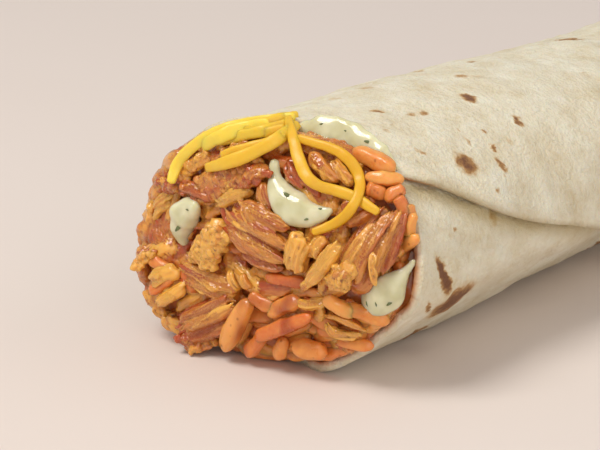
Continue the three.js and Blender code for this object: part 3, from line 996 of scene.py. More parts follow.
@dataclass(frozen=True)
class HerbCream:
    """Sour cream sauce with herbs, spooned on: thick, smooth and glossy, pale with a green cast."""

    body: str = "#E4E1C2"
    thin: str = "#C3BE92"
    cloud_mm: float = 3.5

    def build(self) -> bpy.types.Material:
        """Builds the finish.

        Returns:
            The material.
        """
        material, tree, shader = new_material("herb_cream")

        # The cream is thick and wet, so the eye sees light glow through it and one sharp glint along its top.
        body = add_node(tree, "TexCoord").outputs["Object"]
        clouds = add_node(tree, "TexNoise", {"Vector": body, "Scale": 1 / (self.cloud_mm * MM), "Detail": 2.0})
        thin_share = add_node(tree, "MapRange", {0: clouds, 1: 0.25, 2: 0.75, 3: 0.0, 4: 1.0})
        mixed = add_node(tree, "Mix", {
            0: thin_share, 6: linear(self.body), 7: linear(self.thin)}, data_type="RGBA")
        tree.links.new(mixed.outputs[2], shader.inputs["Base Color"])
        shader.inputs["Roughness"].default_value = 0.14
        shader.inputs["IOR"].default_value = 1.45
        shader.inputs["Coat Weight"].default_value = 0.4
        shader.inputs["Coat Roughness"].default_value = 0.06
        shader.inputs["Subsurface Weight"].default_value = 0.8
        shader.inputs["Subsurface Radius"].default_value = (1.0, 0.85, 0.5)
        shader.inputs["Subsurface Scale"].default_value = 1.6 * MM
        return material


@dataclass(frozen=True)
class ChoppedHerb:
    """Chopped green herb, dark and a little wet."""

    light: str = "#7B8352"
    dark: str = "#48522F"
    vein_mm: float = 0.6

    def build(self) -> bpy.types.Material:
        """Builds the finish.

        Returns:
            The material.
        """
        material, tree, shader = new_material("chopped_herb")

        # Cut leaves soak up the cream, which leaves the eye a dull green with darker veins.
        body = add_node(tree, "TexCoord").outputs["Object"]
        veins = add_node(tree, "TexNoise", {"Vector": body, "Scale": 1 / (self.vein_mm * MM), "Detail": 2.0})
        mixed = add_node(tree, "Mix", {
            0: veins, 6: linear(self.dark), 7: linear(self.light)}, data_type="RGBA")
        tree.links.new(mixed.outputs[2], shader.inputs["Base Color"])
        shader.inputs["Roughness"].default_value = 0.35
        return material


@dataclass(frozen=True)
class PaleTable:
    """A pale painted table top: matt, with hardly any shine."""

    colour: str = "#E2D7D1"
    shade: str = "#DFD3CC"

    def build(self) -> bpy.types.Material:
        """Builds the finish.

        Returns:
            The material.
        """
        material, tree, shader = new_material("pale_table")

        # Matt paint scatters the light, so the eye sees an even tone that only the shadows darken.
        body = add_node(tree, "TexCoord").outputs["Object"]
        clouds = add_node(tree, "TexNoise", {"Vector": body, "Scale": 9.0, "Detail": 2.0})
        mixed = add_node(tree, "Mix", {
            0: clouds, 6: linear(self.colour), 7: linear(self.shade)}, data_type="RGBA")
        tree.links.new(mixed.outputs[2], shader.inputs["Base Color"])
        shader.inputs["Roughness"].default_value = 0.75
        shader.inputs["Specular IOR Level"].default_value = 0.2
        return material


CHICKEN_FINISH = MoistFilling("marinated_chicken", "#EFB04A", "#B24C1A", "#6E2008", "#8A3B18", streak_mm=0.42,
                              roughness=0.24, bump_mm=0.4)
RICE_FINISH = MoistFilling("seasoned_rice", "#ECA351", "#CF6528", "#9C3B12", "#8E3A17", streak_mm=1.1,
                           roughness=0.36, glow=0.6, bump_mm=0.22, speckled=0.6, coat=0.4)
CORE_FINISH = MoistFilling("sauce_between", "#CE7A34", "#B9602A", "#99461B", "#7A3815", streak_mm=1.2,
                           roughness=0.45, glow=0.6)


@dataclass
class Piece:
    """A finished mesh of the scene, and what it stands for."""

    name: str
    mesh: bpy.types.Mesh
    material: bpy.types.Material
    slot: str
    nodes: tuple[str, ...] = ()

    def place(self, placement: Placement) -> bpy.types.Object:
        """Moves the mesh into the frame, dresses it and ties it to the burrito's body.

        Args:
            placement: Where the roll lies in the frame.

        Returns:
            The finished object.
        """
        self.mesh.transform(placement.matrix())
        self.mesh.polygons.foreach_set("use_smooth", np.ones(len(self.mesh.polygons), bool))
        self.mesh.materials.clear()
        self.mesh.materials.append(self.material)
        made = bpy.data.objects.new(self.name, self.mesh)
        bpy.context.scene.collection.objects.link(made)
        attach(made, BODY)
        if self.nodes:
            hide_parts(*self.nodes)
        log.info("%s: %d faces", self.name, len(self.mesh.polygons))
        return made


@dataclass(frozen=True)
class SheetFinder:
    """Finds where on the unrolled sheet a pixel of the photograph falls."""

    view: PhotoView
    tree: BVHTree
    near: KDTree
    place: Array
    reach: float = 15.0

    def at_pixel(self, pixel: tuple[float, float], beside: Array | None = None) -> Array | None:
        """Finds the place on the unrolled sheet that a pixel shows.

        Args:
            pixel: Across and down in the photograph.
            beside: A place on the unrolled sheet that the answer has to lie near, if given.

        Returns:
            The place, or nothing where the pixel shows no outer side of the sheet.
        """
        eye, direction = self.view.ray(pixel)
        hit = self.tree.ray_cast(Vector(eye), Vector(direction))[0]
        if hit is None:
            return None
        outside = [(k, away) for _, k, away in self.near.find_n(hit, 4) if self.place[k][2] > 0.5]
        found = [(self.place[k][:2], away) for k, away in outside]
        if beside is not None:
            found = [(at, away) for at, away in found if np.linalg.norm(at - beside) < self.reach]
        weights = np.array([1 / (away + 1e-3) for _, away in found])
        return np.average([at for at, _ in found], axis=0, weights=weights) if found else None


@dataclass
class Tortilla:
    """The rolled sheet with its cut rim, its last edge, its browned spots and the tucked end."""

    roll: Roll
    view: PhotoView
    row_step: float = math.radians(2.0)
    full_turn: float = math.radians(450)
    seam_rows: int = 36
    cut_face: tuple[float, float] = (0, 0.25)
    rim_gap: float = 1.2
    rim_end: float = 6.0
    station_gap: float = 1.0
    even_to: float = 120.0
    tuck_stations: int = 40
    tuck_crowding: float = 1.8
    waves: tuple[tuple[float, float, float], ...] = ((0.42, 3, 1.0), (0.28, 7, 2.3))
    ragged: float = 0.45
    rim_fade: float = 8.0
    thinning: tuple[float, float] = (0.5, 3.0)
    flap: tuple[float, float, float] = (3.0, 249.0, 17.0)
    edge_lift: tuple[float, float] = (0.85, 6.0)
    flare: tuple[float, float, float] = (0.35, 212.0, 22.0)
    blister_height: float = 0.24
    crease_depth: float = 0.2
    leather_height: float = 0.09
    seen_turn: tuple[float, float, float, float] = (62.0, 80.0, 222.0, 240.0)
    seen_to: tuple[float, float] = (70.0, 80.0)
    soak_reach: tuple[float, float] = (4.0, 16.0)
    soak_spared: tuple[float, float, float] = (0.3, 240.0, 50.0)
    # Painted shade along the last edge and below it, where the flap covers the turn beneath.
    painted_edge_shade: tuple[float, float] = (0.35, 1.6)
    painted_fold_shade: tuple[float, float, float] = (0.6, 7.0, -0.6)
    pucker_height: float = 0.42
    gather_height: float = 1.2
    gathers: tuple[float, float] = (114.0, 140.0)
    knot: tuple[float, float, float, float] = (143.2, 6.8, 12.6, 6.4)
    knot_grid: tuple[int, int] = (24, 48)
    knot_apart: float = 500.0
    cut_side: float = 0.8
    last_station: float = 144.6
    spots: tuple[ToastSpot, ...] = (
        ToastSpot((463, 94, 476, 102), 8, 0.95),
        ToastSpot((408, 115, 416, 113), 4, 0.5),
        ToastSpot((419, 114, 427, 112), 5, 0.6),
        ToastSpot((357, 88, 375, 88), 2.5, 0.35),
        ToastSpot((328, 99, 343, 98), 2.0, 0.3),
        ToastSpot((371, 110, 384, 112), 2.5, 0.75),
        ToastSpot((457, 76, 470, 76), 3.0, 0.55),
        ToastSpot((470, 75, 486, 78), 3.5, 0.25),
        ToastSpot((466, 62, 476, 61.5), 1.8, 0.6),
        ToastSpot((413, 71.5, 424, 71), 1.6, 0.5),
        ToastSpot((383, 130, 390, 131), 3, 0.35),
        ToastSpot((416, 149, 424, 154), 4, 0.45),
        ToastSpot((458, 154, 474, 172), 13, 0.95),
        ToastSpot((465, 137, 472, 146), 3, 0.5),
        ToastSpot((457, 128, 459, 131), 3, 0.4),
        ToastSpot((482, 129, 486, 134), 4, 0.55),
        ToastSpot((492, 145, 495, 152), 3.5, 0.7),
        ToastSpot((495, 156, 506, 171), 5, 0.7),
        ToastSpot((514, 116, 521, 126), 4, 0.85),
        ToastSpot((508, 138, 514, 147), 4, 0.3),
        ToastSpot((497, 187, 499, 194), 4, 0.5),
        ToastSpot((505, 174, 506, 179), 3, 0.4),
        ToastSpot((491, 208, 495, 225), 8, 0.5),
        ToastSpot((455, 226, 456, 231), 2.5, 0.5),
        ToastSpot((450, 233, 451, 240), 3, 0.25),
        ToastSpot((438, 262, 449, 294), 10, 1.25),
        ToastSpot((461, 290, 447, 316), 9, 1.2),
        ToastSpot((430, 304, 426, 314), 4, 0.7),
    )

    def rim(self, angle: Array) -> Array:
        """Works out where the cut rim lies along the roll.

        Args:
            angle: Turns from +Y over the top, through all the turns.

        Returns:
            A place along the roll for each angle.
        """
        wave = sum(height * np.sin(many * angle + phase) for height, many, phase in self.waves)
        line = np.stack([*self.roll.round_places(angle), 4 * angle], -1)
        torn = lattice_noise(line, 2.4, 31) + 0.6 * lattice_noise(line, 1.0, 32)
        most, at, width = self.flap
        flap = most * hump(np.degrees(angle), at, width)
        return self.roll.rim_shift(angle) + wave + self.ragged * torn - flap

    def build_sheet(self) -> tuple[bpy.types.Mesh, Array]:
        """Builds the rolled sheet.

        Returns:
            The mesh, and each vertex's place on the unrolled sheet with its side of the sheet.
        """
        roll = self.roll
        full = np.arange(0, self.full_turn + 1e-6, self.row_step) + roll.start
        rows = len(full) + self.seam_rows
        tucked = self.last_station - self.even_to
        along = np.concatenate([
            self.cut_face, np.arange(self.rim_gap, self.rim_end, self.rim_gap),
            np.arange(self.rim_end, self.even_to, self.station_gap),
            self.even_to + tucked * (1 - (1 - np.linspace(0, 1, self.tuck_stations)) ** self.tuck_crowding)])
        past = np.maximum(np.arange(rows) - len(full) + 1, 0) / self.seam_rows
        fixed = full[np.minimum(np.arange(rows), len(full) - 1)]
        seam = roll.seam_angle(along)
        angle = fixed[:, None] * (1 - past[:, None]) + seam[None, :] * past[:, None]
        fade = np.clip(1 - along / self.rim_fade, 0, 1)
        x = along[None, :] + self.rim(angle[:, 0])[:, None] * fade[None, :]
        from_edge = (angle[-1:, :] - angle) * roll.unrolled_radius
        from_edge[:full.size] = FAR
        most, reach = self.thinning
        thin = 1 - most * (1 - smooth_step(from_edge, 0, reach))
        most, reach = self.edge_lift
        lift = most * (1 - smooth_step(from_edge, 0, reach)) * smooth_step(along, 1, 9)[None, :]
        most, at, reach = self.flare
        flare = most * hump(np.degrees(angle), at, reach) * np.clip(1 - along / 9, 0, 1)[None, :] ** 1.5
        pleats = flare * (0.6 + 0.5 * np.sin(angle * 21))
        base = roll.pitch * (angle - roll.start) / TAU + lift + pleats
        outer = roll.point(angle, x, base + roll.sheet * thin, 0.0)
        inner = roll.point(angle, x, base, roll.sheet)
        outer = self.soften(outer, angle, x)
        count = len(along)
        points = np.concatenate([outer, inner[:, ::-1]], axis=1).reshape(-1, 3)
        width = 2 * count
        faces = grid_faces(rows, width)
        for row, turned in ((0, True), (rows - 1, False)):
            for k in range(count - 1):
                quad = tuple(row * width + j for j in (k, k + 1, width - 2 - k, width - 1 - k))
                faces.append(quad[::-1] if turned else quad)
        mesh = new_mesh("tortilla_sheet", points, faces)
        side = np.concatenate([np.ones_like(x), np.zeros_like(x)], axis=1)
        side[:, 0] = self.cut_side
        place = np.stack([np.concatenate([angle, angle[:, ::-1]], 1) * roll.unrolled_radius,
                          np.concatenate([x, x[:, ::-1]], 1), side], -1).reshape(-1, 3)
        return mesh, place

    def soften(self, points: Array, angle: Array, x: Array) -> Array:
        """Raises small blisters and sinks shallow creases in the sheet's outer side.

        Args:
            points: Points of the outer side.
            angle: Each point's turn from +Y over the top.
            x: Each point's place along the roll.

        Returns:
            The moved points.
        """
        flat = points.reshape(-1, 3)
        blisters = np.maximum(lattice_noise(flat, 2.6, 41), 0.1) - 0.1
        creases = np.abs(lattice_noise(flat * np.array([0.35, 1, 1]), 4.0, 42))
        leather = lattice_noise(flat, 2.2, 43)
        sheet = np.stack([angle * self.roll.unrolled_radius * 0.4, x, 0 * x], -1).reshape(-1, 3)
        puckers = 1 - np.abs(lattice_noise(sheet, 2.4, 44)) * 2 + 0.6 * lattice_noise(sheet, 4.0, 45)
        zone = hump(np.degrees(angle), 178, 34) * smooth_step(x, 0.5, 5) * (1 - smooth_step(x, 12, 42))
        height = self.blister_height * blisters + self.leather_height * leather
        height = height - self.crease_depth * (1 - smooth_step(creases, 0.0, 0.16))
        height = height.reshape(angle.shape) * smooth_step(x, 1, 8)
        gathers = np.abs(np.sin(3.5 * angle + 0.6 + 0.02 * x)) ** 0.7 - 0.7
        gathers = gathers * smooth_step(x, *self.gathers) * (1 - 0.5 * smooth_step(x, 142, 145))
        height = height + self.gather_height * gathers
        height = height + self.pucker_height * puckers.reshape(angle.shape) * zone
        moved = points + self.roll.normal(angle, np.minimum(x, self.roll.length - 0.4)) * height[..., None]
        moved[..., 2] = np.maximum(moved[..., 2], 0.0)
        return moved

    def build_knot(self) -> tuple[Array, list[tuple[int, ...]]]:
        """Builds the folded lump in the middle of the tucked end, with its creases.

        Returns:
            The lump's points and faces.
        """
        middle, length, width, height = self.knot
        rings, sides = self.knot_grid
        turns = np.linspace(0, TAU, sides, endpoint=False)
        loops = []
        level = float(self.roll.base(np.array(0.0), np.array(self.last_station))[2])
        for polar in np.pi * np.arange(1, rings) / rings:
            fold = 1 - 0.10 * np.abs(np.sin(3.5 * turns + 0.7)) ** 0.5 * math.sin(polar)
            loops.append(np.stack([middle - length * math.cos(polar) + 0 * turns,
                                   width * math.sin(polar) * np.cos(turns) * fold,
                                   level + height * math.sin(polar) * np.sin(turns) * fold], -1))
        points = np.concatenate([*loops, [[middle - length, 0, level], [middle + length, 0, level]]])
        return points, grid_faces(len(loops), sides, True) + tip_faces(len(loops), sides, True)

    def find_spots(self, mesh: bpy.types.Mesh, place: Array) -> list[SheetSpot]:
        """Finds the photograph's browned spots on the unrolled sheet.

        Args:
            mesh: The rolled sheet.
            place: Each vertex's place on the unrolled sheet.

        Returns:
            The spots in millimetres.
        """
        finder = SheetFinder(self.view, mesh_tree([mesh]), point_tree(mesh_points(mesh)), place)
        spots = []
        for spot in self.spots:
            start, end = np.array(spot.ends[:2]), np.array(spot.ends[2:])
            middle = (start + end) / 2
            sideways = unit(np.array([start[1] - end[1], end[0] - start[0]])) * spot.width / 2
            centre = finder.at_pixel(tuple(middle))
            if centre is None:
                continue
            corners = (start, end, middle - sideways, middle + sideways)
            found = [finder.at_pixel(tuple(corner), centre) for corner in corners]
            arms = [None if at is None else at - centre for at in found]
            arms = [-arms[k ^ 1] if arm is None and arms[k ^ 1] is not None else arm
                    for k, arm in enumerate(arms)]
            if any(arm is None for arm in arms):
                continue
            long_axis = arms[1] - arms[0]
            short_axis = arms[3] - arms[2]
            turn = math.atan2(long_axis[1], long_axis[0])
            normal = np.array([-math.sin(turn), math.cos(turn)])
            half = (max(np.linalg.norm(long_axis) / 2, 0.5), max(abs(float(short_axis @ normal)) / 2, 0.45))
            spots.append(SheetSpot((float(centre[0]), float(centre[1])), turn, half, spot.darkness))
        return spots

    def build(self) -> Piece:
        """Builds the sheet and its tucked end, with what the finish reads at each vertex.

        Returns:
            The finished piece.
        """
        sheet, place = self.build_sheet()
        spots = self.find_spots(sheet, place)
        parts = MeshParts()
        parts.add(mesh_points(sheet), [tuple(p.vertices) for p in sheet.polygons])
        knot_points, knot_faces = self.build_knot()
        parts.add(knot_points, knot_faces)
        mesh = parts.mesh("tortilla_rolled")
        knot_place = np.stack([knot_points[:, 1], knot_points[:, 2] + self.knot_apart,
                               0 * knot_points[:, 0] + 1], -1)
        place = np.concatenate([place, knot_place])
        radius = self.roll.unrolled_radius
        degrees = np.degrees(place[:, 0] / radius) % 360
        seen = smooth_step(degrees, *self.seen_turn[:2]) * (1 - smooth_step(degrees, *self.seen_turn[2:]))
        seen = seen * (1 - smooth_step(place[:, 1], *self.seen_to))
        inside = 1 - smooth_step(place[:, 2], 0.2, 0.9)
        depth = 1 - smooth_step(place[:, 1], *self.soak_reach)
        most, at, width = self.soak_spared
        stained = 1 - most * hump(degrees, at, width)
        seam = self.roll.seam_angle(np.clip(place[:, 1], 0, self.roll.length)) * radius
        # Painted shade: darkest just below the last edge, fainter along the edge itself.
        most, reach = self.painted_edge_shade
        edge = most * (1 - smooth_step(seam - place[:, 0], 0, reach))
        under = place[:, 0] - seam + TAU * radius
        most, reach, first = self.painted_fold_shade
        fold_shade = edge + most * (1 - smooth_step(under, 0, reach)) * (under > first)
        fold_shade[len(sheet.vertices):] = 0
        seen[len(sheet.vertices):] = 1
        set_attribute(mesh, "sheet_place", place)
        set_attribute(mesh, "seen_in_photo", seen)
        set_attribute(mesh, "soaked", inside * depth * stained)
        set_attribute(mesh, "painted_fold_shade", fold_shade)
        return Piece("tortilla_rolled", mesh, GriddledTortilla().build(spots), "tortilla", ("tortilla",))


@dataclass
class Heap:
    """All that lies inside the roll, and the heap that bulges out of its mouth."""

    roll: Roll
    clear: float = 0.35
    stations: tuple[float, ...] = (
        134.0, 130.0, 122.0, 112.0, 98.0, 84.0, 70.0, 56.0, 42.0, 30.0, 20.0, 12.0, 7.0)
    lip: tuple[tuple[float, float], ...] = (
        (0, 0), (0.35, 0.02), (0.7, 0.06), (0.9, 0.25), (1, 0.45), (0.85, 0.75), (0.6, 1))
    lip_loops: int = 19
    front_loops: int = 42
    far_middle: float = 14.0
    spill: float = 0.09
    least_forward: float = 0.3
    held_back: tuple[float, float] = (165.0, 42.0)
    tucked_in: tuple[float, float] = (244.0, 18.0)
    low_spill: tuple[float, float, float] = (0.15, 319.0, 32.0)
    lip_gap: float = 1.2
    recess: float = 3.2
    bulge: float = 2.8
    front: float = -6.5
    middle: float = 21.5
    table_clear: float = 0.3
    sides: int = 240
    rice_edge: tuple[tuple[float, float], ...] = (
        (-13, -2), (-8, 9), (0, 12.4), (8, 14.4), (15, 14.2), (21, 16.5), (24.4, 22), (24, 28.5),
        (20.5, 32.5), (15, 36), (12.5, 50))

    def point(self, angle: Array, widening: float, forward: float, inward: float) -> Array:
        """Works out points of the bulge.

        Args:
            angle: Turns from +Y over the top.
            widening: How far the lip spreads over the rim, 0 to 1.
            forward: How far it comes out of the mouth, 0 to 1.
            inward: Share of the way from the middle to the lip.

        Returns:
            A point for each angle.
        """
        degrees = np.degrees(angle)
        near = hump(degrees, *self.held_back)
        spill = self.spill * (1 - near) * (1 - hump(degrees, *self.tucked_in))
        most, at, width = self.low_spill
        spill = spill + most * hump(degrees, at, width)
        x = self.roll.rim_shift(angle) - self.lip_gap + (self.recess + self.lip_gap) * near
        x = x - forward * self.bulge * np.maximum(spill / self.spill, self.least_forward)
        wall = self.roll.hollow(angle, np.maximum(x, 0), self.clear)
        share = (1 + widening * spill) * inward
        y = wall[..., 1] * share
        z = self.middle + (wall[..., 2] - self.middle) * share
        x = self.front + (x - self.front) * inward ** 3
        return np.stack([x, y, np.maximum(z, self.table_clear)], -1)

    def build_core(self) -> bpy.types.Mesh:
        """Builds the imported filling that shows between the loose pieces.

        Returns:
            The mesh, in the roll's own millimetres.
        """
        angles = self.roll.start + TAU * np.arange(self.sides) / self.sides
        loops = [self.roll.hollow(angles, np.full(self.sides, x), self.clear) for x in self.stations]
        lip = np.array(self.lip)
        for at in np.linspace(0, len(lip) - 1, self.lip_loops):
            widening, forward = (float(np.interp(at, range(len(lip)), lip[:, k])) for k in (0, 1))
            loops.append(self.point(angles, widening, forward, 1))
        for inward in np.linspace(0.975, 0.025, self.front_loops):
            loops.append(self.point(angles, lip[-1, 0], lip[-1, 1], float(inward)))
        tips = [[self.stations[0], 0, self.far_middle], [self.front, 0, self.middle]]
        points = np.concatenate([*loops, tips])
        faces = grid_faces(len(loops), self.sides, True) + tip_faces(len(loops), self.sides, True)
        return new_mesh("filling_core", points, faces)

    def in_rice(self, y: float, z: float) -> bool:
        """Tells whether a place of the section lies in the rice.

        Args:
            y: Across the section.
            z: Up from the table.

        Returns:
            True in the rice.
        """
        outline = [(-across, up) for across, up in self.rice_edge] + [(-60.0, 60.0), (-60.0, -20.0)]
        inside = False
        for (ya, za), (yb, zb) in zip(outline, outline[1:] + outline[:1]):
            if (za > z) != (zb > z) and y < (yb - ya) * (z - za) / (zb - za) + ya:
                inside = not inside
        return inside


@dataclass
class HeapSurface:
    """Finds places on the heap by the photograph's pixels or by the section's own millimetres."""

    view: PhotoView
    tree: BVHTree
    section_tree: BVHTree | None = None
    heap_centre: tuple[float, float] = (275.0, 240.0)

    def at_pixel(self, pixel: tuple[float, float], lift: float) -> Array | None:
        """Finds the place that a pixel shows.

        Args:
            pixel: The photograph's pixel, which may lie a little past the heap's outline.
            lift: How far the place lies out of the heap, in millimetres.

        Returns:
            The place, or nothing where the heap is far from the pixel.
        """
        eye, direction = self.view.ray(pixel)
        centre = np.array(self.heap_centre)
        for share in np.linspace(0, 0.35, 15):
            near_by = np.array(pixel) * (1 - share) + centre * share
            start, way = self.view.ray(tuple(near_by))
            hit = self.tree.ray_cast(Vector(start), Vector(way))[0]
            if hit is not None:
                depth = float((np.array(hit) - eye) @ direction)
                return eye + direction * (depth - lift / max(float(direction[0]), 0.5))
        return None

    def at_section(self, y: float, z: float, lift: float) -> Array | None:
        """Returns the heap's front at a place of the section, moved out by the lift."""
        hit = (self.section_tree or self.tree).ray_cast(Vector((-60, y, z)), Vector((1, 0, 0)))[0]
        return None if hit is None else np.array(hit) - np.array([lift, 0, 0])

    def straight(self, middle: tuple[float, float], half: float, lean: float, ways: tuple[int, ...],
                 lift: float) -> list[Array | None]:
        """Finds places along a straight piece that lies on the heap's front.

        Args:
            middle: The piece's middle in the section.
            half: Half its length.
            lean: Its turn from the level.
            ways: Which places are wanted, -1 for one end to 1 for the other.
            lift: How far it lies out of the heap.

        Returns:
            Each place, or nothing where the heap has none.
        """
        across, up = half * math.cos(lean), half * math.sin(lean)
        return [self.at_section(middle[0] - way * across, middle[1] + way * up, lift) for way in ways]


class Torn(Enum):
    """How a piece of the chicken came apart."""

    FIBROUS = "fibrous"
    CRUMBLY = "crumbly"
    BLOCK = "block"


@dataclass(frozen=True)
class Shred:
    """A piece of chicken by the pixels of its route, its width in pixels, lift in mm, tone and kind."""

    route: tuple[tuple[float, float], ...]
    width: float
    lift: float
    tone: float
    torn: Torn = Torn.FIBROUS


@dataclass(frozen=True)
class MuscleChunk:
    """Shapes one torn piece of muscle: strands side by side with creases between, or a crumbly lump."""

    strand: float = 1.0
    fine_strand: float = 0.5
    crease: float = 0.62
    fine_crease: float = 0.12
    crumb: float = 1.1
    crumb_height: float = 0.75
    torn_share: float = 0.2
    facing: tuple[float, float, float] = (-0.95, -0.1, 0.3)

    def relief(self, u: Array, v: Array, flat: Array, torn: Torn, seed: int,
               draw: np.random.Generator) -> tuple[Array, Array]:
        """Works out the strands or the crumbs of a piece's surface.

        Args:
            u: Each point's place across the piece.
            v: Each point's place through the piece.
            flat: Places to draw noise at, one row each.
            torn: How the piece came apart.
            seed: Picks the noise.
            draw: Source of its unevenness.

        Returns:
            How far each point stands out, and how deep it lies in a cleft, which the finish darkens as painted
            shade.
        """
        if torn is Torn.CRUMBLY:
            rough = 0.62 * lattice_noise(flat, self.crumb, seed)
            rough = (rough + 0.38 * lattice_noise(flat, self.crumb / 2.2, seed + 2)).reshape(u.shape)
            return self.crumb_height * rough, np.clip(0.4 - 0.55 * rough, 0, 1)
        sway = 0.35 * lattice_noise(flat * np.array([0.3, 0.3, 1]), 5.0, seed + 3)
        sway = (sway + 0.5 * lattice_noise(flat * np.array([1, 1, 0.05]), 1.9, seed + 6)).reshape(u.shape)
        row = (u + 0.35 * np.abs(v)) / self.strand + draw.uniform(0, 1) + sway
        lobes = np.abs(np.sin(np.pi * row))
        fine = np.abs(np.sin(np.pi * (u / self.fine_strand + sway * 2.3 + 0.3)))
        rough = lattice_noise(flat * np.array([1, 1, 0.3]), 0.9, seed + 4).reshape(u.shape)
        height = self.crease * (lobes ** 0.4 - 0.75) + self.fine_crease * (fine - 0.5) + 0.16 * rough
        return height, np.clip(0.9 * (1 - lobes ** 0.45) + 0.25 * (1 - fine) - 0.2 * rough, 0, 1)

    def add(self, parts: MeshParts, line: Array, width: float, thickness: float, tone: float, torn: Torn,
            draw: np.random.Generator, gap: float = 0.3) -> None:
        """Adds a piece along a line.

        Args:
            parts: The mesh that takes the piece.
            line: Points along its middle.
            width: Its full width.
            thickness: Its full thickness.
            tone: How golden it is, 0 to 1.
            torn: How it came apart.
            draw: Source of its unevenness.
            gap: Size of its facets.
        """
        length = float(np.linalg.norm(np.diff(line, axis=0), axis=1).sum())
        rings = int(np.clip(length / gap, 7, 60))
        sides = int(np.clip(math.pi * (width + thickness) / 2 / gap, 8, 96))
        seed = int(draw.integers(1, 9999))
        t = np.linspace(0, 1, rings)[:, None] * np.ones(sides)
        turn = (TAU * (np.arange(sides) + 0.5) / sides)[None, :] * np.ones((rings, 1))
        cosine, sine = np.cos(turn), np.sin(turn)
        u = np.sign(cosine) * np.abs(cosine) ** 0.8 * width / 2
        v = np.sign(sine) * np.abs(sine) ** 0.8 * thickness / 2
        strand_row = np.stack([u / self.strand, 0 * u + 0.5 * (v > 0), 0 * u], -1).reshape(-1, 3)
        start = self.torn_share * (0.5 + 0.5 * lattice_noise(strand_row, 1.0, seed)).reshape(u.shape)
        end = self.torn_share * (0.5 + 0.5 * lattice_noise(strand_row, 1.0, seed + 1)).reshape(u.shape)
        drawn_out = 0.35 if torn is Torn.CRUMBLY else 1.0
        at = start * drawn_out + t * (1 - (start + end) * drawn_out)
        curve = smooth_route(line, 40)
        centre = along_line(curve, at)
        tangent = unit_rows(along_line(np.gradient(curve, axis=0), at))
        across = unit_rows(np.cross(tangent, np.array(self.facing)))
        out = np.cross(across, tangent)
        blunt = 12 if torn is Torn.BLOCK else 5
        ends = (1 - np.abs(2 * np.clip(t * 0.99 + 0.005, 0, 1) - 1) ** blunt) ** 0.45
        spread = 1 + 0.25 * draw.uniform(-1, 1) * (t - 0.5)
        flat = np.stack([u, v, at * length], -1).reshape(-1, 3) + draw.uniform(0, 50, 3)
        height, dip = self.relief(u, v, flat, torn, seed, draw)
        # Painted shade: the back of each piece, which lies against the heap, counts as deep in a cleft and is
        # darkened.
        dip = np.clip(dip + 0.55 * smooth_step(-v / thickness, -0.05, 0.4), 0, 1)
        level, steep = cosine * thickness, sine * width
        norm = np.hypot(level, steep)
        u_out = (u * spread + height * level / norm) * ends
        v_out = (v + height * steep / norm) * ends
        points = centre + across * u_out[..., None] + out * v_out[..., None]
        shade = np.clip(tone + 0.28 * lattice_noise(strand_row, 1.3, seed + 5).reshape(u.shape), 0, 1)
        stretch = np.array([1.0, 1.0, 1.0 if torn is Torn.CRUMBLY else 0.16])
        grain = flat.reshape(rings, sides, 3) * stretch
        number = np.full(u.shape, float(seed))
        tags = np.concatenate([shade[..., None], dip[..., None], grain, number[..., None]], -1)
        parts.add_rows(points, tags.reshape(-1, 6))

    def add_frayed(self, parts: MeshParts, line: Array, width: float, thickness: float, tone: float,
                   torn: Torn, draw: np.random.Generator) -> None:
        """Adds a piece, with the loose threads or crumbs on its front that tearing leaves.

        Args:
            parts: The mesh that takes the piece.
            line: Points along its middle.
            width: Its full width.
            thickness: Its full thickness.
            tone: How golden it is, 0 to 1.
            torn: How it came apart.
            draw: Source of its unevenness.
        """
        t = np.linspace(-1, 1, len(line))
        line = line + np.outer(t ** 4 * 0.7, np.array([1.0, 0, 0]))
        self.add(parts, line, width, thickness, tone, torn, draw)
        along = unit(line[-1] - line[0])
        across = unit(np.cross(along, np.array(self.facing)))
        out = np.cross(across, along)
        length = float(np.linalg.norm(line[-1] - line[0]))
        many = round(width * length * (0.7 if torn is Torn.CRUMBLY else 0.2))
        for _ in range(many):
            aside = draw.uniform(-0.9, 0.9)
            above = thickness / 2 * math.sqrt(1 - aside * aside) - 0.1
            own_tone = float(np.clip(tone + draw.normal(0, 0.22), 0, 1))
            if torn is Torn.CRUMBLY:
                at = draw.uniform(0.06, 0.94)
                middle = along_line(line, at) + across * aside * width / 2 + out * above
                way = unit(draw.normal(0, 1, 3)) * draw.uniform(0.5, 1.1)
                size = draw.uniform(0.7, 1.5)
                route = np.array([middle - way, middle, middle + way])
                self.add(parts, route, size, size * 0.8, own_tone, torn, draw)
            else:
                start, end = draw.uniform(-0.05, 0.35), draw.uniform(0.6, 1.08)
                share = np.linspace(start, end, 5)
                middle = along_line(line, share)
                turn = draw.normal(0, 0.05) * length
                sway = (share - 0.5) * turn + draw.normal(0, 0.18, 5)
                route = middle + np.outer(aside * width / 2 + sway, across) + out * above
                size = draw.uniform(0.5, 0.95)
                self.add(parts, route, size, size * 0.85, own_tone, torn, draw)


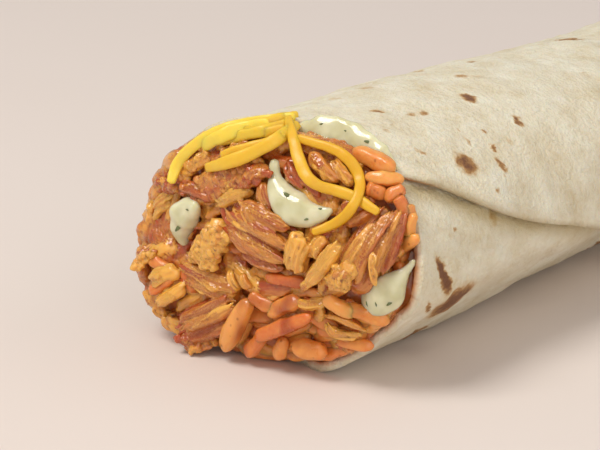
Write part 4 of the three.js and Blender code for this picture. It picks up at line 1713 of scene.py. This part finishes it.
@dataclass
class Chicken:
    """Shredded chicken: strips and lumps torn from the muscle, and smaller bits between them."""

    heap: Heap
    surface: HeapSurface
    chunk: MuscleChunk = MuscleChunk()
    seed: int = 7
    filler_gap: float = 3.5
    shred_voxel: float = 0.2
    bit_voxel: float = 0.3
    lip_rows: tuple[tuple[float, float], ...] = ((0.0, 4.0), (0.35, 5.0))
    lip_turn: tuple[float, float] = (-132.0, 130.0)
    strewn: float = 1.3
    table_clear: float = 0.05
    flatness: float = 0.8
    thickest: float = 3.2
    grit: float = 0.2
    tufts: tuple[tuple[float, float, float], ...] = (
        (23, 24, 47), (16, 31, 8), (15, 10, 28), (1, 26, -32), (4, 17, 6), (-11, 24, 62), (-19, 26, 66),
        (-9, 37, -28))
    shreds: tuple[Shred, ...] = (
        Shred(((158, 184), (186, 188), (219, 197)), 17, 2.2, 0.15, Torn.CRUMBLY),
        Shred(((172, 186), (196, 192), (216, 203)), 8, 3.0, 0.2),
        Shred(((151, 212), (160, 202), (174, 191)), 9, 2.2, 0.95),
        Shred(((152, 224), (160, 212), (171, 202)), 7, 2.0, 0.8),
        Shred(((151, 222), (160, 240), (172, 258)), 12, 1.6, 0.25),
        Shred(((131, 266), (143, 260), (157, 251)), 12, 2.4, 0.75, Torn.CRUMBLY),
        Shred(((134, 258), (146, 252), (156, 244)), 8, 1.8, 0.5),
        Shred(((148, 283), (160, 277), (180, 269)), 16, 2.6, 0.85),
        Shred(((152, 306), (166, 299), (186, 286)), 13, 2.8, 1.0),
        # These lower-left strips have low tones: partly their own redder brown, partly painted shade.
        Shred(((176, 336), (206, 322), (238, 304)), 40, 1.8, 0.1),
        Shred(((172, 324), (200, 311), (236, 296)), 12, 3.0, 0.3),
        Shred(((178, 334), (206, 321), (240, 306)), 11, 3.4, 0.4),
        Shred(((174, 344), (198, 336), (230, 328)), 15, 2.6, 0.15, Torn.CRUMBLY),
        Shred(((180, 350), (200, 346), (222, 343)), 9, 2.0, 0.4, Torn.CRUMBLY),
        Shred(((202, 268), (212, 246), (224, 224)), 30, 3.2, 0.9, Torn.CRUMBLY),
        Shred(((192, 262), (198, 248), (206, 232)), 14, 3.0, 0.8, Torn.CRUMBLY),
        Shred(((180, 264), (212, 280), (246, 292)), 30, 1.4, 0.3),
        Shred(((176, 262), (204, 274), (238, 286)), 9, 2.6, 0.4),
        Shred(((190, 272), (214, 284), (240, 294)), 8, 3.0, 0.35),
        Shred(((228, 268), (232, 280), (238, 292)), 9, 3.2, 0.85),
        Shred(((240, 272), (244, 282), (250, 292)), 8, 3.0, 0.5),
        Shred(((213, 206), (232, 196), (252, 190)), 13, 2.6, 0.85),
        Shred(((224, 206), (256, 230), (294, 258)), 48, 2.0, 0.25),
        Shred(((234, 200), (262, 214), (293, 234)), 12, 3.4, 0.35),
        Shred(((230, 212), (258, 229), (290, 250)), 12, 3.9, 0.5),
        Shred(((222, 226), (252, 245), (288, 267)), 13, 3.6, 0.5),
        Shred(((232, 246), (258, 262), (284, 272)), 9, 3.0, 0.25),
        Shred(((240, 202), (246, 216), (258, 236)), 7, 4.6, 0.6),
        Shred(((194, 198), (226, 180), (264, 166)), 34, 1.8, 0.3, Torn.CRUMBLY),
        Shred(((240, 186), (254, 176), (268, 168)), 16, 2.8, 0.2, Torn.CRUMBLY),
        Shred(((260, 178), (265, 196), (271, 216)), 12, 2.4, 0.3),
        Shred(((180, 178), (192, 166), (212, 156)), 14, 2.0, 0.7, Torn.CRUMBLY),
        Shred(((214, 164), (232, 152), (256, 146)), 14, 1.6, 0.5, Torn.CRUMBLY),
        Shred(((293, 272), (298, 252), (304, 234)), 26, 3.2, 0.8, Torn.BLOCK),
        Shred(((314, 262), (318, 248), (324, 236)), 15, 2.8, 0.6, Torn.BLOCK),
        Shred(((303, 288), (322, 266), (342, 240)), 14, 4.6, 0.95),
        Shred(((299, 290), (306, 284), (318, 276)), 9, 4.2, 0.9),
        Shred(((344, 292), (366, 254), (392, 208)), 44, 2.2, 0.3),
        Shred(((336, 290), (350, 258), (376, 222)), 12, 3.8, 0.6),
        Shred(((350, 290), (364, 256), (388, 212)), 11, 4.2, 0.4),
        Shred(((366, 288), (380, 254), (398, 206)), 10, 3.8, 0.4),
        Shred(((380, 282), (392, 254), (404, 208)), 9, 3.2, 0.35),
        Shred(((370, 250), (372, 270), (374, 290)), 5, 5.6, 0.75),
        Shred(((334, 290), (342, 277), (354, 262)), 22, 4.2, 0.75, Torn.CRUMBLY),
        Shred(((306, 152), (322, 168), (336, 186)), 13, 2.0, 0.5),
        Shred(((330, 156), (342, 172), (352, 190)), 11, 2.0, 0.7),
        Shred(((284, 160), (292, 174), (304, 192)), 11, 1.8, 0.1),
        Shred(((296, 162), (308, 182), (322, 202)), 11, 1.8, 0.2),
        Shred(((336, 214), (352, 206), (372, 198)), 14, 1.8, 0.25),
        Shred(((340, 228), (356, 220), (376, 208)), 11, 2.0, 0.3),
        Shred(((322, 322), (336, 334), (362, 338)), 10, 2.6, 0.85),
        Shred(((318, 316), (342, 320), (366, 334)), 6, 2.6, 0.8),
        Shred(((336, 346), (346, 349), (356, 346)), 9, 1.6, 0.5, Torn.CRUMBLY),
        Shred(((292, 302), (310, 306), (328, 304)), 10, 2.8, 0.7),
    )

    def shred_line(self, shred: Shred) -> Array | None:
        """Returns points along a shred, on the heap."""
        places = [self.surface.at_pixel(pixel, shred.lift) for pixel in shred.route]
        return None if any(at is None for at in places) else np.array(places)

    def filler(self, parts: MeshParts, draw: np.random.Generator) -> None:
        """Covers the rest of the heap with smaller bits, lower than the main shreds.

        Args:
            parts: The mesh that takes the bits.
            draw: Source of their unevenness.
        """
        for up in np.arange(1.5, 44, self.filler_gap):
            for side in np.arange(-31, 32, self.filler_gap):
                y, z = (at + draw.uniform(-self.strewn, self.strewn) for at in (side, up))
                lean = min(self.tufts, key=lambda tuft: math.hypot(y - tuft[0], z - tuft[1]))[2]
                lean = math.radians(lean + draw.normal(0, 22))
                half = draw.uniform(3.0, 5.6)
                width, tone, kind = draw.uniform(1.5, 3.2), draw.uniform(0.05, 0.75), draw.uniform(0, 1)
                lift = draw.uniform(0.4, 1.5)
                if self.heap.in_rice(y, z):
                    continue
                places = self.surface.straight((y, z), half, lean, (-1, 0, 1), lift)
                if any(at is None for at in places):
                    continue
                torn = Torn.FIBROUS if kind < 0.6 else Torn.CRUMBLY
                self.chunk.add(parts, np.array(places), width, width * 0.75, tone, torn, draw, 0.42)

    def lip(self, parts: MeshParts, draw: np.random.Generator) -> None:
        """Lays bits over the heap's lip, all round where the filling bulges out of the rim.

        Args:
            parts: The mesh that takes the bits.
            draw: Source of their unevenness.
        """
        for reach, step in self.lip_rows:
            angle, last = (math.radians(degrees) for degrees in self.lip_turn)
            while angle < last:
                slant = math.radians(draw.uniform(-7, 9))
                tone, width, kind = draw.uniform(0.1, 0.9), draw.uniform(2.2, 3.8), draw.uniform(0, 1)
                line = np.array([
                    self.heap.point(np.array(angle + way * slant), 0.9, forward + reach, inward)
                    for way, forward, inward in ((-1, 0.0, 1.0), (0.2, 0.6, 0.99), (1.2, 1.0, 0.94))])
                if not any(self.heap.in_rice(at[1], at[2]) for at in line):
                    torn = Torn.FIBROUS if kind < 0.6 else Torn.CRUMBLY
                    self.chunk.add(parts, line, width, width * 0.7, tone, torn, draw, 0.4)
                angle += math.radians(draw.uniform(0.7, 1.3) * step)

    def finish_piece(self, name: str, parts: MeshParts, voxel: float, material: bpy.types.Material,
                     nodes: tuple[str, ...] = ()) -> Piece:
        """Joins all the parts to one rough skin, with what the finish reads at each vertex.

        Args:
            name: The piece's name.
            parts: What it is made of.
            voxel: Size of the grid that its skin is drawn on.
            material: Its finish.
            nodes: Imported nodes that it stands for.

        Returns:
            The finished piece.
        """
        mesh = remeshed(parts.mesh(name + "_parts"), voxel)
        mesh.name = name
        set_points(mesh, neighbour_means(mesh, 1, 0.25))
        points, normals = mesh_points(mesh), vertex_normals(mesh)
        sources, tags = np.concatenate(parts.points), parts.tag_values()
        near = point_tree(sources)
        around = np.array([[k for _, k, _ in near.find_n(at, 4)] for at in points])
        away = np.linalg.norm(sources[around] - points[:, None], axis=2)
        weights = (tags[around][:, :, 5] == tags[around[:, :1]][:, :, 5]) / (away + 0.02)
        found = np.einsum("ij,ijk->ik", weights / weights.sum(1, keepdims=True), tags[around])
        rough = 0.65 * lattice_noise(found[:, 2:5], 0.6, 71) + 0.35 * lattice_noise(points, 0.6, 72)
        points = points + normals * (self.grit * rough)[:, None]
        points[:, 2] = np.maximum(points[:, 2], self.table_clear)
        set_points(mesh, points)
        # Painted shade: hollows of the joined skin, with each piece's own creases, darken the finish towards
        # its cleft colour.
        dip = 0.7 * hollowness(mesh, 20, 0.6) + 0.4 * found[:, 1] - 0.1 * rough
        set_attribute(mesh, "tone", found[:, 0])
        set_attribute(mesh, "dip", np.clip(dip, 0, 1))
        set_attribute(mesh, "grain_place", found[:, 2:5])
        return Piece(name, mesh, material, "chicken", nodes)

    def build(self) -> list[Piece]:
        """Builds the strips of the photograph, and the bits that fill the heap between them.

        Returns:
            The strips, the lumps and the bits.
        """
        draw = np.random.default_rng(self.seed)
        strips, lumps, bits = MeshParts(), MeshParts(), MeshParts()
        for shred in self.shreds:
            line = self.shred_line(shred)
            if line is None:
                log.info("a shred misses the heap: %s", shred.route)
                continue
            width = shred.width * self.surface.view.mm_per_pixel
            thickness = min(width * self.flatness, self.thickest)
            parts = lumps if shred.torn is Torn.CRUMBLY else strips
            self.chunk.add_frayed(parts, line, width, thickness, shred.tone, shred.torn, draw)
        self.filler(bits, draw)
        self.lip(bits, draw)
        material = CHICKEN_FINISH.build()
        return [self.finish_piece("chicken_shreds", strips, self.shred_voxel, material, ("chicken",)),
                self.finish_piece("chicken_lumps", lumps, self.shred_voxel, material),
                self.finish_piece("chicken_bits", bits, self.bit_voxel, material)]


@dataclass(frozen=True)
class Grain:
    """A grain of rice by the pixels at its ends, its width in pixels, its lift in mm and any known tone."""

    ends: tuple[float, float, float, float]
    width: float
    lift: float
    tone: float | None = None


@dataclass
class Rice:
    """Long seasoned rice, cooked soft."""

    heap: Heap
    surface: HeapSurface
    length: float = 9.6
    width: float = 3.0
    seed: int = 19
    gap: float = 3.7
    brought: float = 1.8
    leans: tuple[float, float] = (75.0, 14.0)
    upright_from: float = -17.0
    lip_turn: tuple[float, float] = (-234.0, -40.0)
    strewn: float = 1.3
    table_clear: float = 0.05
    grains: tuple[Grain, ...] = (
        Grain((225, 350, 250, 300), 21, 3.2),
        Grain((256, 337, 311, 316), 18, 3.6),
        Grain((246, 354, 264, 332), 16, 3.0),
        Grain((279, 357, 284, 338), 17, 2.8),
        Grain((291, 345, 326, 353), 22, 3.2),
        Grain((270, 314, 300, 301), 18, 2.8),
        Grain((250, 294, 276, 308), 16, 2.4),
        Grain((297, 307, 330, 304), 11, 1.8),
        Grain((294, 296, 324, 299), 11, 1.6),
        Grain((266, 276, 306, 283), 13, 2.2),
        Grain((326, 296, 356, 314), 16, 1.8),
        Grain((346, 308, 388, 322), 17, 1.6),
        Grain((354, 150, 394, 169), 20, 1.8, 0.6),
        Grain((365, 176, 403, 179), 15, 2.0, 0.85),
        Grain((366, 187, 386, 195), 16, 2.2),
        Grain((385, 199, 405, 189), 15, 2.4),
        Grain((396, 256, 418, 237), 14, 1.6),
        Grain((409, 238, 415, 214), 13, 2.0),
        Grain((338, 340, 374, 346), 13, 1.6),
        Grain((152, 258, 174, 274), 16, 2.2),
        Grain((150, 292, 178, 270), 15, 2.4),
        Grain((182, 268, 196, 292), 12, 1.6),
        Grain((262, 300, 286, 288), 12, 1.2),
        Grain((397, 196, 406, 226), 15, 2.6, 0.3),
        Grain((408, 204, 413, 222), 13, 1.0, 0.6),
        Grain((409, 236, 402, 262), 14, 0.8, 0.5),
        Grain((396, 262, 404, 284), 14, 0.4, 0.3),
        Grain((360, 190, 372, 204), 13, 1.0, 0.4),
        Grain((318, 330, 352, 336), 13, 1.4),
    )

    def grain(self, parts: MeshParts, line: Array, width: float, draw: np.random.Generator,
              tone: float | None = None) -> None:
        """Shapes one grain: blunt at one end, narrower at the other.

        Args:
            parts: The mesh that takes the grain.
            line: Points along its middle.
            width: Its full width.
            draw: Source of its unevenness.
            tone: How pale it is, 0 to 1, or nothing to draw it.
        """
        t = np.linspace(0, 1, 26)
        bend = draw.normal(0, 0.3, 3)
        centres = smooth_route(line, 26) + bend * np.sin(np.pi * t)[:, None]
        profile = (1 - np.abs(2 * np.clip(0.01 + 0.98 * t, 0, 1) - 1) ** draw.uniform(3.4, 6.0)) ** 0.5
        profile *= 1 - 0.4 * (t - 0.3) * draw.uniform(-0.4, 1.0)
        radii = 0.46 * width * profile * (1 + 0.06 * np.sin(t * 9 + draw.uniform(0, TAU)))
        facing = np.array([-1.0, 0.1, 0.3]) + draw.normal(0, 0.25, 3)
        points, faces = tube(centres, radii, 18, facing, draw.uniform(0.75, 0.95), 0.66)
        out = unit_rows(points - centres.mean(0))
        swell = 0.8 * lattice_noise(points, 2.2, 21) + 0.5 * lattice_noise(points, 1.0, 22)
        own_tone = draw.uniform(0.2, 1)
        parts.add(points + out * (0.25 * swell)[:, None], faces, (own_tone if tone is None else tone,))

    def scattered(self, parts: MeshParts, draw: np.random.Generator) -> None:
        """Spreads the other grains over the rice's part of the heap and over its lip.

        Args:
            parts: The mesh that takes the grains.
            draw: Source of their unevenness.
        """
        for up in np.arange(1, 43, self.gap):
            for side in np.arange(-30, 31, self.gap):
                y, z = (at + draw.uniform(-self.strewn, self.strewn) for at in (side, up))
                lean = math.radians(self.leans[0 if y < self.upright_from else 1] + draw.normal(0, 36))
                half = self.length * draw.uniform(0.7, 1.05) / 2
                lift, width = draw.uniform(-0.7, 0.4), self.width * draw.uniform(0.85, 1.1)
                if not self.heap.in_rice(y, z):
                    continue
                places = self.surface.straight((y, z), half, lean, (-1, 1), lift)
                if any(at is None for at in places):
                    continue
                if not any(self.heap.in_rice(at[1], at[2]) for at in places):
                    continue
                line = np.array([places[0], (places[0] + places[1]) / 2 - np.array([0.4, 0, 0]), places[1]])
                line[:, 2] = np.maximum(line[:, 2], width / 2)
                self.grain(parts, line, width, draw)
        angle, last = (math.radians(degrees) for degrees in self.lip_turn)
        while angle < last:
            turn = np.array(angle)
            brought = self.brought * float(hump(np.degrees(turn), *self.heap.held_back))
            slant = math.radians(draw.uniform(4, 10) * (1 if draw.uniform(0, 1) < 0.5 else -1))
            width = self.width * draw.uniform(0.85, 1.1)
            places = [self.heap.point(turn + way * slant, 0.8, forward, inward)
                      for way, forward, inward in ((-1, 0.2, 1.0), (0.2, 0.8, 0.98), (1, 1.2, 0.9))]
            line = np.array(places) - np.array([brought, 0, 0])
            line[:, 2] = np.maximum(line[:, 2], width / 2)
            if all(self.heap.in_rice(at[1], at[2]) for at in line):
                self.grain(parts, line, width, draw)
            angle += math.radians(draw.uniform(3.0, 5.5))

    def build(self) -> Piece:
        """Builds all the grains as one piece.

        Returns:
            The finished piece.
        """
        draw = np.random.default_rng(self.seed)
        parts = MeshParts()
        for grain in self.grains:
            start, end = np.array(grain.ends[:2]), np.array(grain.ends[2:])
            places = [self.surface.at_pixel(tuple(start + (end - start) * t), grain.lift)
                      for t in (0.0, 0.5, 1.0)]
            if any(at is None for at in places):
                log.info("a grain misses the heap: %s", grain.ends)
                continue
            line = np.array(places)
            width = grain.width * self.surface.view.mm_per_pixel
            line[:, 2] = np.maximum(line[:, 2], width / 2 + self.table_clear)
            self.grain(parts, line, width, draw, grain.tone)
        self.scattered(parts, draw)
        mesh = parts.mesh("rice_grains")
        points = mesh_points(mesh)
        points[:, 2] = np.maximum(points[:, 2], self.table_clear)
        set_points(mesh, points)
        set_attribute(mesh, "tone", parts.tag_values()[:, 0])
        set_attribute(mesh, "grain_place", mesh_points(mesh))
        set_attribute(mesh, "dip", 0.42 + 0.4 * lattice_noise(points, 3.2, 23))
        return Piece("rice_grains", mesh, RICE_FINISH.build(), "rice", ("rice",))


@dataclass(frozen=True)
class Strand:
    """A strand of cheese by the pixels of its route, its width in pixels and its tone."""

    route: tuple[tuple[float, float], ...]
    width: float
    tone: float = 0.2
    flatness: float = 0.8


@dataclass
class Cheese:
    """Shredded cheddar, lying over the filling."""

    surface: HeapSurface
    seed: int = 3
    lift: float = 1.2
    rings: int = 60
    sides: int = 16
    limpness: int = 14
    bluntness: float = 0.16
    squareness: float = 0.7
    unevenness: float = 0.11
    facing: tuple[float, float, float] = (-0.8, -0.5, 0.3)
    strands: tuple[Strand, ...] = (
        Strand(((171, 182), (177, 164), (190, 149), (206, 138), (230, 128), (262, 121), (294, 117)),
               13, 0.8, 0.5),
        Strand(((203, 146), (222, 136), (244, 128), (268, 124)), 15, 0.8, 0.4),
        Strand(((216, 142), (240, 136), (264, 131), (290, 122)), 12, 0.35, 0.5),
        Strand(((207, 168), (228, 162), (252, 153), (276, 140), (298, 124)), 14, 0.3, 0.5),
        Strand(((222, 156), (244, 149), (266, 144), (284, 134)), 12, 0.2, 0.5),
        Strand(((288, 118), (293, 138), (299, 160), (309, 180), (324, 188), (348, 194), (378, 212)),
               12, 0.1, 0.6),
        Strand(((298, 138), (314, 143), (332, 148), (349, 159), (359, 175), (360, 190), (353, 207),
                (341, 220), (326, 228), (313, 232)), 11, 0.0, 0.65),
        Strand(((256, 124), (278, 119), (297, 115)), 11, 0.4),
        Strand(((240, 128), (262, 133), (284, 127)), 10, 0.15, 0.6),
    )

    def build(self) -> Piece:
        """Builds the strands as one piece.

        Returns:
            The finished piece.
        """
        draw = np.random.default_rng(self.seed)
        parts = MeshParts()
        for strand in self.strands:
            half = strand.width * self.surface.view.mm_per_pixel / 2
            places = [self.surface.at_pixel(pixel, half * self.lift) for pixel in strand.route]
            line = np.array([at for at in places if at is not None])
            if len(line) < 2:
                continue
            line = evened(smooth_route(line, self.rings), self.limpness)
            t = np.linspace(0, 1, self.rings)
            taper = np.sin(np.pi * (0.02 + 0.96 * t)) ** self.bluntness
            radii = half * taper * (1 + 0.06 * np.sin(t * 13 + draw.uniform(0, TAU)))
            shape = tube(line, radii, self.sides, np.array(self.facing), strand.flatness, self.squareness)
            parts.add(*shape, (strand.tone,))
        mesh = parts.mesh("cheese_strands")
        points = mesh_points(mesh)
        uneven = 0.6 * lattice_noise(points, 1.6, 51) + 0.4 * lattice_noise(points, 0.8, 52)
        set_points(mesh, points + vertex_normals(mesh) * (self.unevenness * uneven)[:, None])
        set_attribute(mesh, "tone", parts.tag_values()[:, 0])
        return Piece("cheese_strands", mesh, SoftCheddar().build(), "cheese", ("cheese",))


@dataclass(frozen=True)
class Dollop:
    """A spoonful of sauce by pixels along its middle, with its half width in pixels at each.

    Its thickness is in millimetres. A fleck has its pixel, its turn in degrees and its half length in pixels.
    """

    node: str
    route: tuple[tuple[float, float, float], ...]
    thickness: float
    flecks: tuple[tuple[float, float, float, float], ...] = ()


@dataclass
class Sauce:
    """Cream sauce in spoonfuls, with chopped herb in it."""

    surface: HeapSurface
    voxel: float = 0.3
    lift: float = 0.3
    rings: int = 24
    sides: int = 20
    bluntness: float = 0.3
    unevenness: float = 0.28
    facing: tuple[float, float, float] = (-0.75, -0.55, 0.35)
    dollops: tuple[Dollop, ...] = (
        Dollop("sauce_top", (
            (301, 126, 12), (312, 131, 19), (332, 132, 18), (352, 137, 15), (370, 146, 13), (387, 158, 10),
            (400, 171, 6)), 1.1, ((346, 131, 20, 2), (368, 142, 15, 4), (322, 124, 0, 2.5))),
        Dollop("sauce_middle", (
            (275, 160, 8), (275, 174, 9), (279, 189, 13), (289, 204, 19), (304, 213, 16), (320, 214, 11),
            (333, 210, 6)), 1.8, ((288, 196, 40, 5.5), (307, 219, -20, 3), (321, 209, 10, 2.5))),
        Dollop("sauce_left", (
            (197, 204, 7), (188, 211, 14), (183, 223, 17), (183, 235, 13), (186, 245, 7)), 2.2,
            ((179, 227, -50, 5.5), (188, 210, 20, 2.5))),
        Dollop("sauce_right", (
            (415, 260, 4), (407, 270, 7), (397, 281, 13), (386, 293, 20), (375, 300, 20),
            (363, 300, 12)), 1.9, ((367, 304, 70, 2.5), (376, 304, 80, 2.5), (390, 303, -40, 4))),
    )

    def build_dollop(self, dollop: Dollop) -> bpy.types.Mesh:
        """Builds one spoonful, swollen along its route and sunk into the heap.

        Args:
            dollop: Where the photograph shows it.

        Returns:
            The mesh.
        """
        parts = MeshParts()
        scale = self.surface.view.mm_per_pixel
        depths, halves, rays = [], [], []
        for x, y, half in dollop.route:
            at = self.surface.at_pixel((x, y), self.lift)
            if at is not None:
                eye, way = self.surface.view.ray((x, y))
                rays.append(way)
                depths.append(float((at - eye) @ way))
                halves.append(half * scale)
        level = evened(np.array(depths), 3)
        line = smooth_route(self.surface.view.eye + np.array(rays) * level[:, None], self.rings)
        t = np.linspace(0, 1, self.rings)
        widths = np.interp(t, np.linspace(0, 1, len(halves)), halves)
        widths *= 1 + 0.14 * lattice_noise(line, 1.8, 81)
        out = unit(np.array(self.facing))
        flatness = dollop.thickness / float(max(widths))
        taper = np.sin(np.pi * np.linspace(0.1, 0.9, self.rings)) ** self.bluntness
        parts.add(*tube(line, widths * taper, self.sides, out, flatness))
        mesh = remeshed(parts.mesh(dollop.node), self.voxel)
        set_points(mesh, neighbour_means(mesh, 8, 0.6))
        points = mesh_points(mesh)
        uneven = self.unevenness * lattice_noise(points, 2.4, 82)
        set_points(mesh, points + vertex_normals(mesh) * uneven[:, None])
        return mesh

    def build_flecks(self, tree: BVHTree) -> bpy.types.Mesh:
        """Builds the flakes of herb on the sauce.

        Args:
            tree: All the spoonfuls.

        Returns:
            The mesh.
        """
        parts = MeshParts()
        on_sauce = HeapSurface(self.surface.view, tree)
        right, up, back = self.surface.view.axes
        for dollop in self.dollops:
            for x, y, turn, half in dollop.flecks:
                at = on_sauce.at_pixel((x, y), 0)
                if at is None:
                    continue
                way = right * math.cos(math.radians(turn)) - up * math.sin(math.radians(turn))
                size = half * self.surface.view.mm_per_pixel
                centres = at + way * np.linspace(-size, size, 6)[:, None]
                radii = 0.42 * size * np.sin(np.pi * np.linspace(0.12, 0.88, 6))
                parts.add(*tube(centres, radii, 8, back, 0.3))
        return parts.mesh("herb_flecks")

    def build(self) -> list[Piece]:
        """Builds the spoonfuls, and the herb on them.

        Returns:
            The finished pieces.
        """
        finish = HerbCream().build()
        meshes = [self.build_dollop(dollop) for dollop in self.dollops]
        flecks = self.build_flecks(mesh_tree(meshes))
        pieces = [Piece(dollop.node.replace("sauce", "cream"), mesh, finish, "sauce", (dollop.node,))
                  for dollop, mesh in zip(self.dollops, meshes)]
        return [*pieces, Piece("herb_flecks", flecks, ChoppedHerb().build(), "sauce")]


@dataclass
class Studio:
    """A pale table and soft lamps round the burrito."""

    table_side: float = 6.0

    def build(self) -> None:
        """Builds the table, the lamps and the pale surroundings."""
        half = self.table_side / 2
        corners = np.array([(-half, -half, 0), (half, -half, 0), (half, half, 0), (-half, half, 0)])
        mesh = new_mesh("table", corners, [(0, 1, 2, 3)])
        mesh.materials.append(PaleTable().build())
        table = bpy.data.objects.new("table", mesh)
        bpy.context.scene.collection.objects.link(table)
        self.lamp("key", (-0.5, 0.2, 0.85), 0.4, 5.9, "#FFFCF6")
        self.lamp("fill", (-0.6, -0.8, 0.5), 0.9, 2.8, "#FFF7E8")
        self.lamp("edge", (0.35, -0.75, 0.6), 0.7, 1.2, "#FFFFFF")
        world = bpy.data.worlds.new("studio")
        world.use_nodes = True
        world.node_tree.nodes["Background"].inputs[0].default_value = linear("#F4F1EE")
        world.node_tree.nodes["Background"].inputs[1].default_value = 0.5
        bpy.context.scene.world = world
        bpy.context.scene.view_settings.view_transform = "Standard"

    def lamp(self, name: str, at: tuple[float, float, float], side: float, watts: float, colour: str) -> None:
        """Hangs a square soft lamp that faces the burrito.

        Args:
            name: The lamp's name.
            at: Its place in metres.
            side: Its width.
            watts: Its power.
            colour: Its hex colour.
        """
        data = bpy.data.lights.new(name, "AREA")
        data.shape = "SQUARE"
        data.size = side
        data.energy = watts
        data.color = linear(colour)[:3]
        lamp = bpy.data.objects.new(name, data)
        lamp.location = at
        lamp.rotation_mode = "QUATERNION"
        lamp.rotation_quaternion = (Vector((0, 0, 0.02)) - Vector(at)).to_track_quat("-Z", "Y")
        bpy.context.scene.collection.objects.link(lamp)


def find_placement(roll: Roll, sheet: bpy.types.Mesh) -> Placement:
    """Works out where the roll lies in the frame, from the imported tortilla's box.

    Args:
        roll: The roll's shape.
        sheet: The rolled sheet in the roll's millimetres.

    Returns:
        The roll's place.
    """
    low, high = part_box("tortilla")
    points = mesh_points(sheet)
    middle = (points[:, 1].min() + points[:, 1].max()) / 2
    return Placement(high.x - roll.tuck_end * MM, (low.y + high.y) / 2 - middle * MM)


def build_core(heap: Heap) -> Piece:
    """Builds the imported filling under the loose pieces, roughened like crushed rice and shreds.

    Args:
        heap: The heap's shape.

    Returns:
        The finished piece.
    """
    mesh = heap.build_core()
    points = mesh_points(mesh)
    normals = vertex_normals(mesh)
    rough = 0.65 * lattice_noise(points, 2.0, 61) + 0.35 * lattice_noise(points, 0.9, 62)
    points -= np.where(points[:, 0] < 2, 0.55 * (1 - rough), 0)[:, None] * normals
    points[:, 2] = np.maximum(points[:, 2], 0.1)
    set_points(mesh, points)
    set_attribute(mesh, "tone", 0.4 + 0.3 * lattice_noise(points, 5.0, 63))
    set_attribute(mesh, "grain_place", points)
    # Painted shade: the dents pushed into the core's front darken its finish.
    set_attribute(mesh, "dip", np.clip(0.5 - 0.5 * rough, 0, 1))
    return Piece("filling_core", mesh, CORE_FINISH.build(), "chicken")


def main() -> None:
    """Builds the burrito piece by piece, then the table, the lamps and the camera."""
    logging.basicConfig(level=logging.INFO, format="%(name)s %(message)s")
    roll, view = Roll(), PhotoView()
    tortilla = Tortilla(roll, view).build()
    placement = find_placement(roll, tortilla.mesh)
    view.make_camera(placement)
    heap = Heap(roll)
    core = build_core(heap)
    bare = HeapSurface(view, mesh_tree([core.mesh, tortilla.mesh]), mesh_tree([core.mesh]))
    chicken = Chicken(heap, bare).build()
    rice = Rice(heap, bare).build()
    filling = [tortilla, core, *chicken, rice]
    sauces = Sauce(HeapSurface(view, mesh_tree([piece.mesh for piece in filling]))).build()
    topped = mesh_tree([piece.mesh for piece in [*filling, *sauces]])
    cheese = Cheese(HeapSurface(view, topped)).build()
    for piece in [*filling, *sauces, cheese]:
        piece.place(placement)
    Studio().build()


if __name__ == "__main__":
    main()
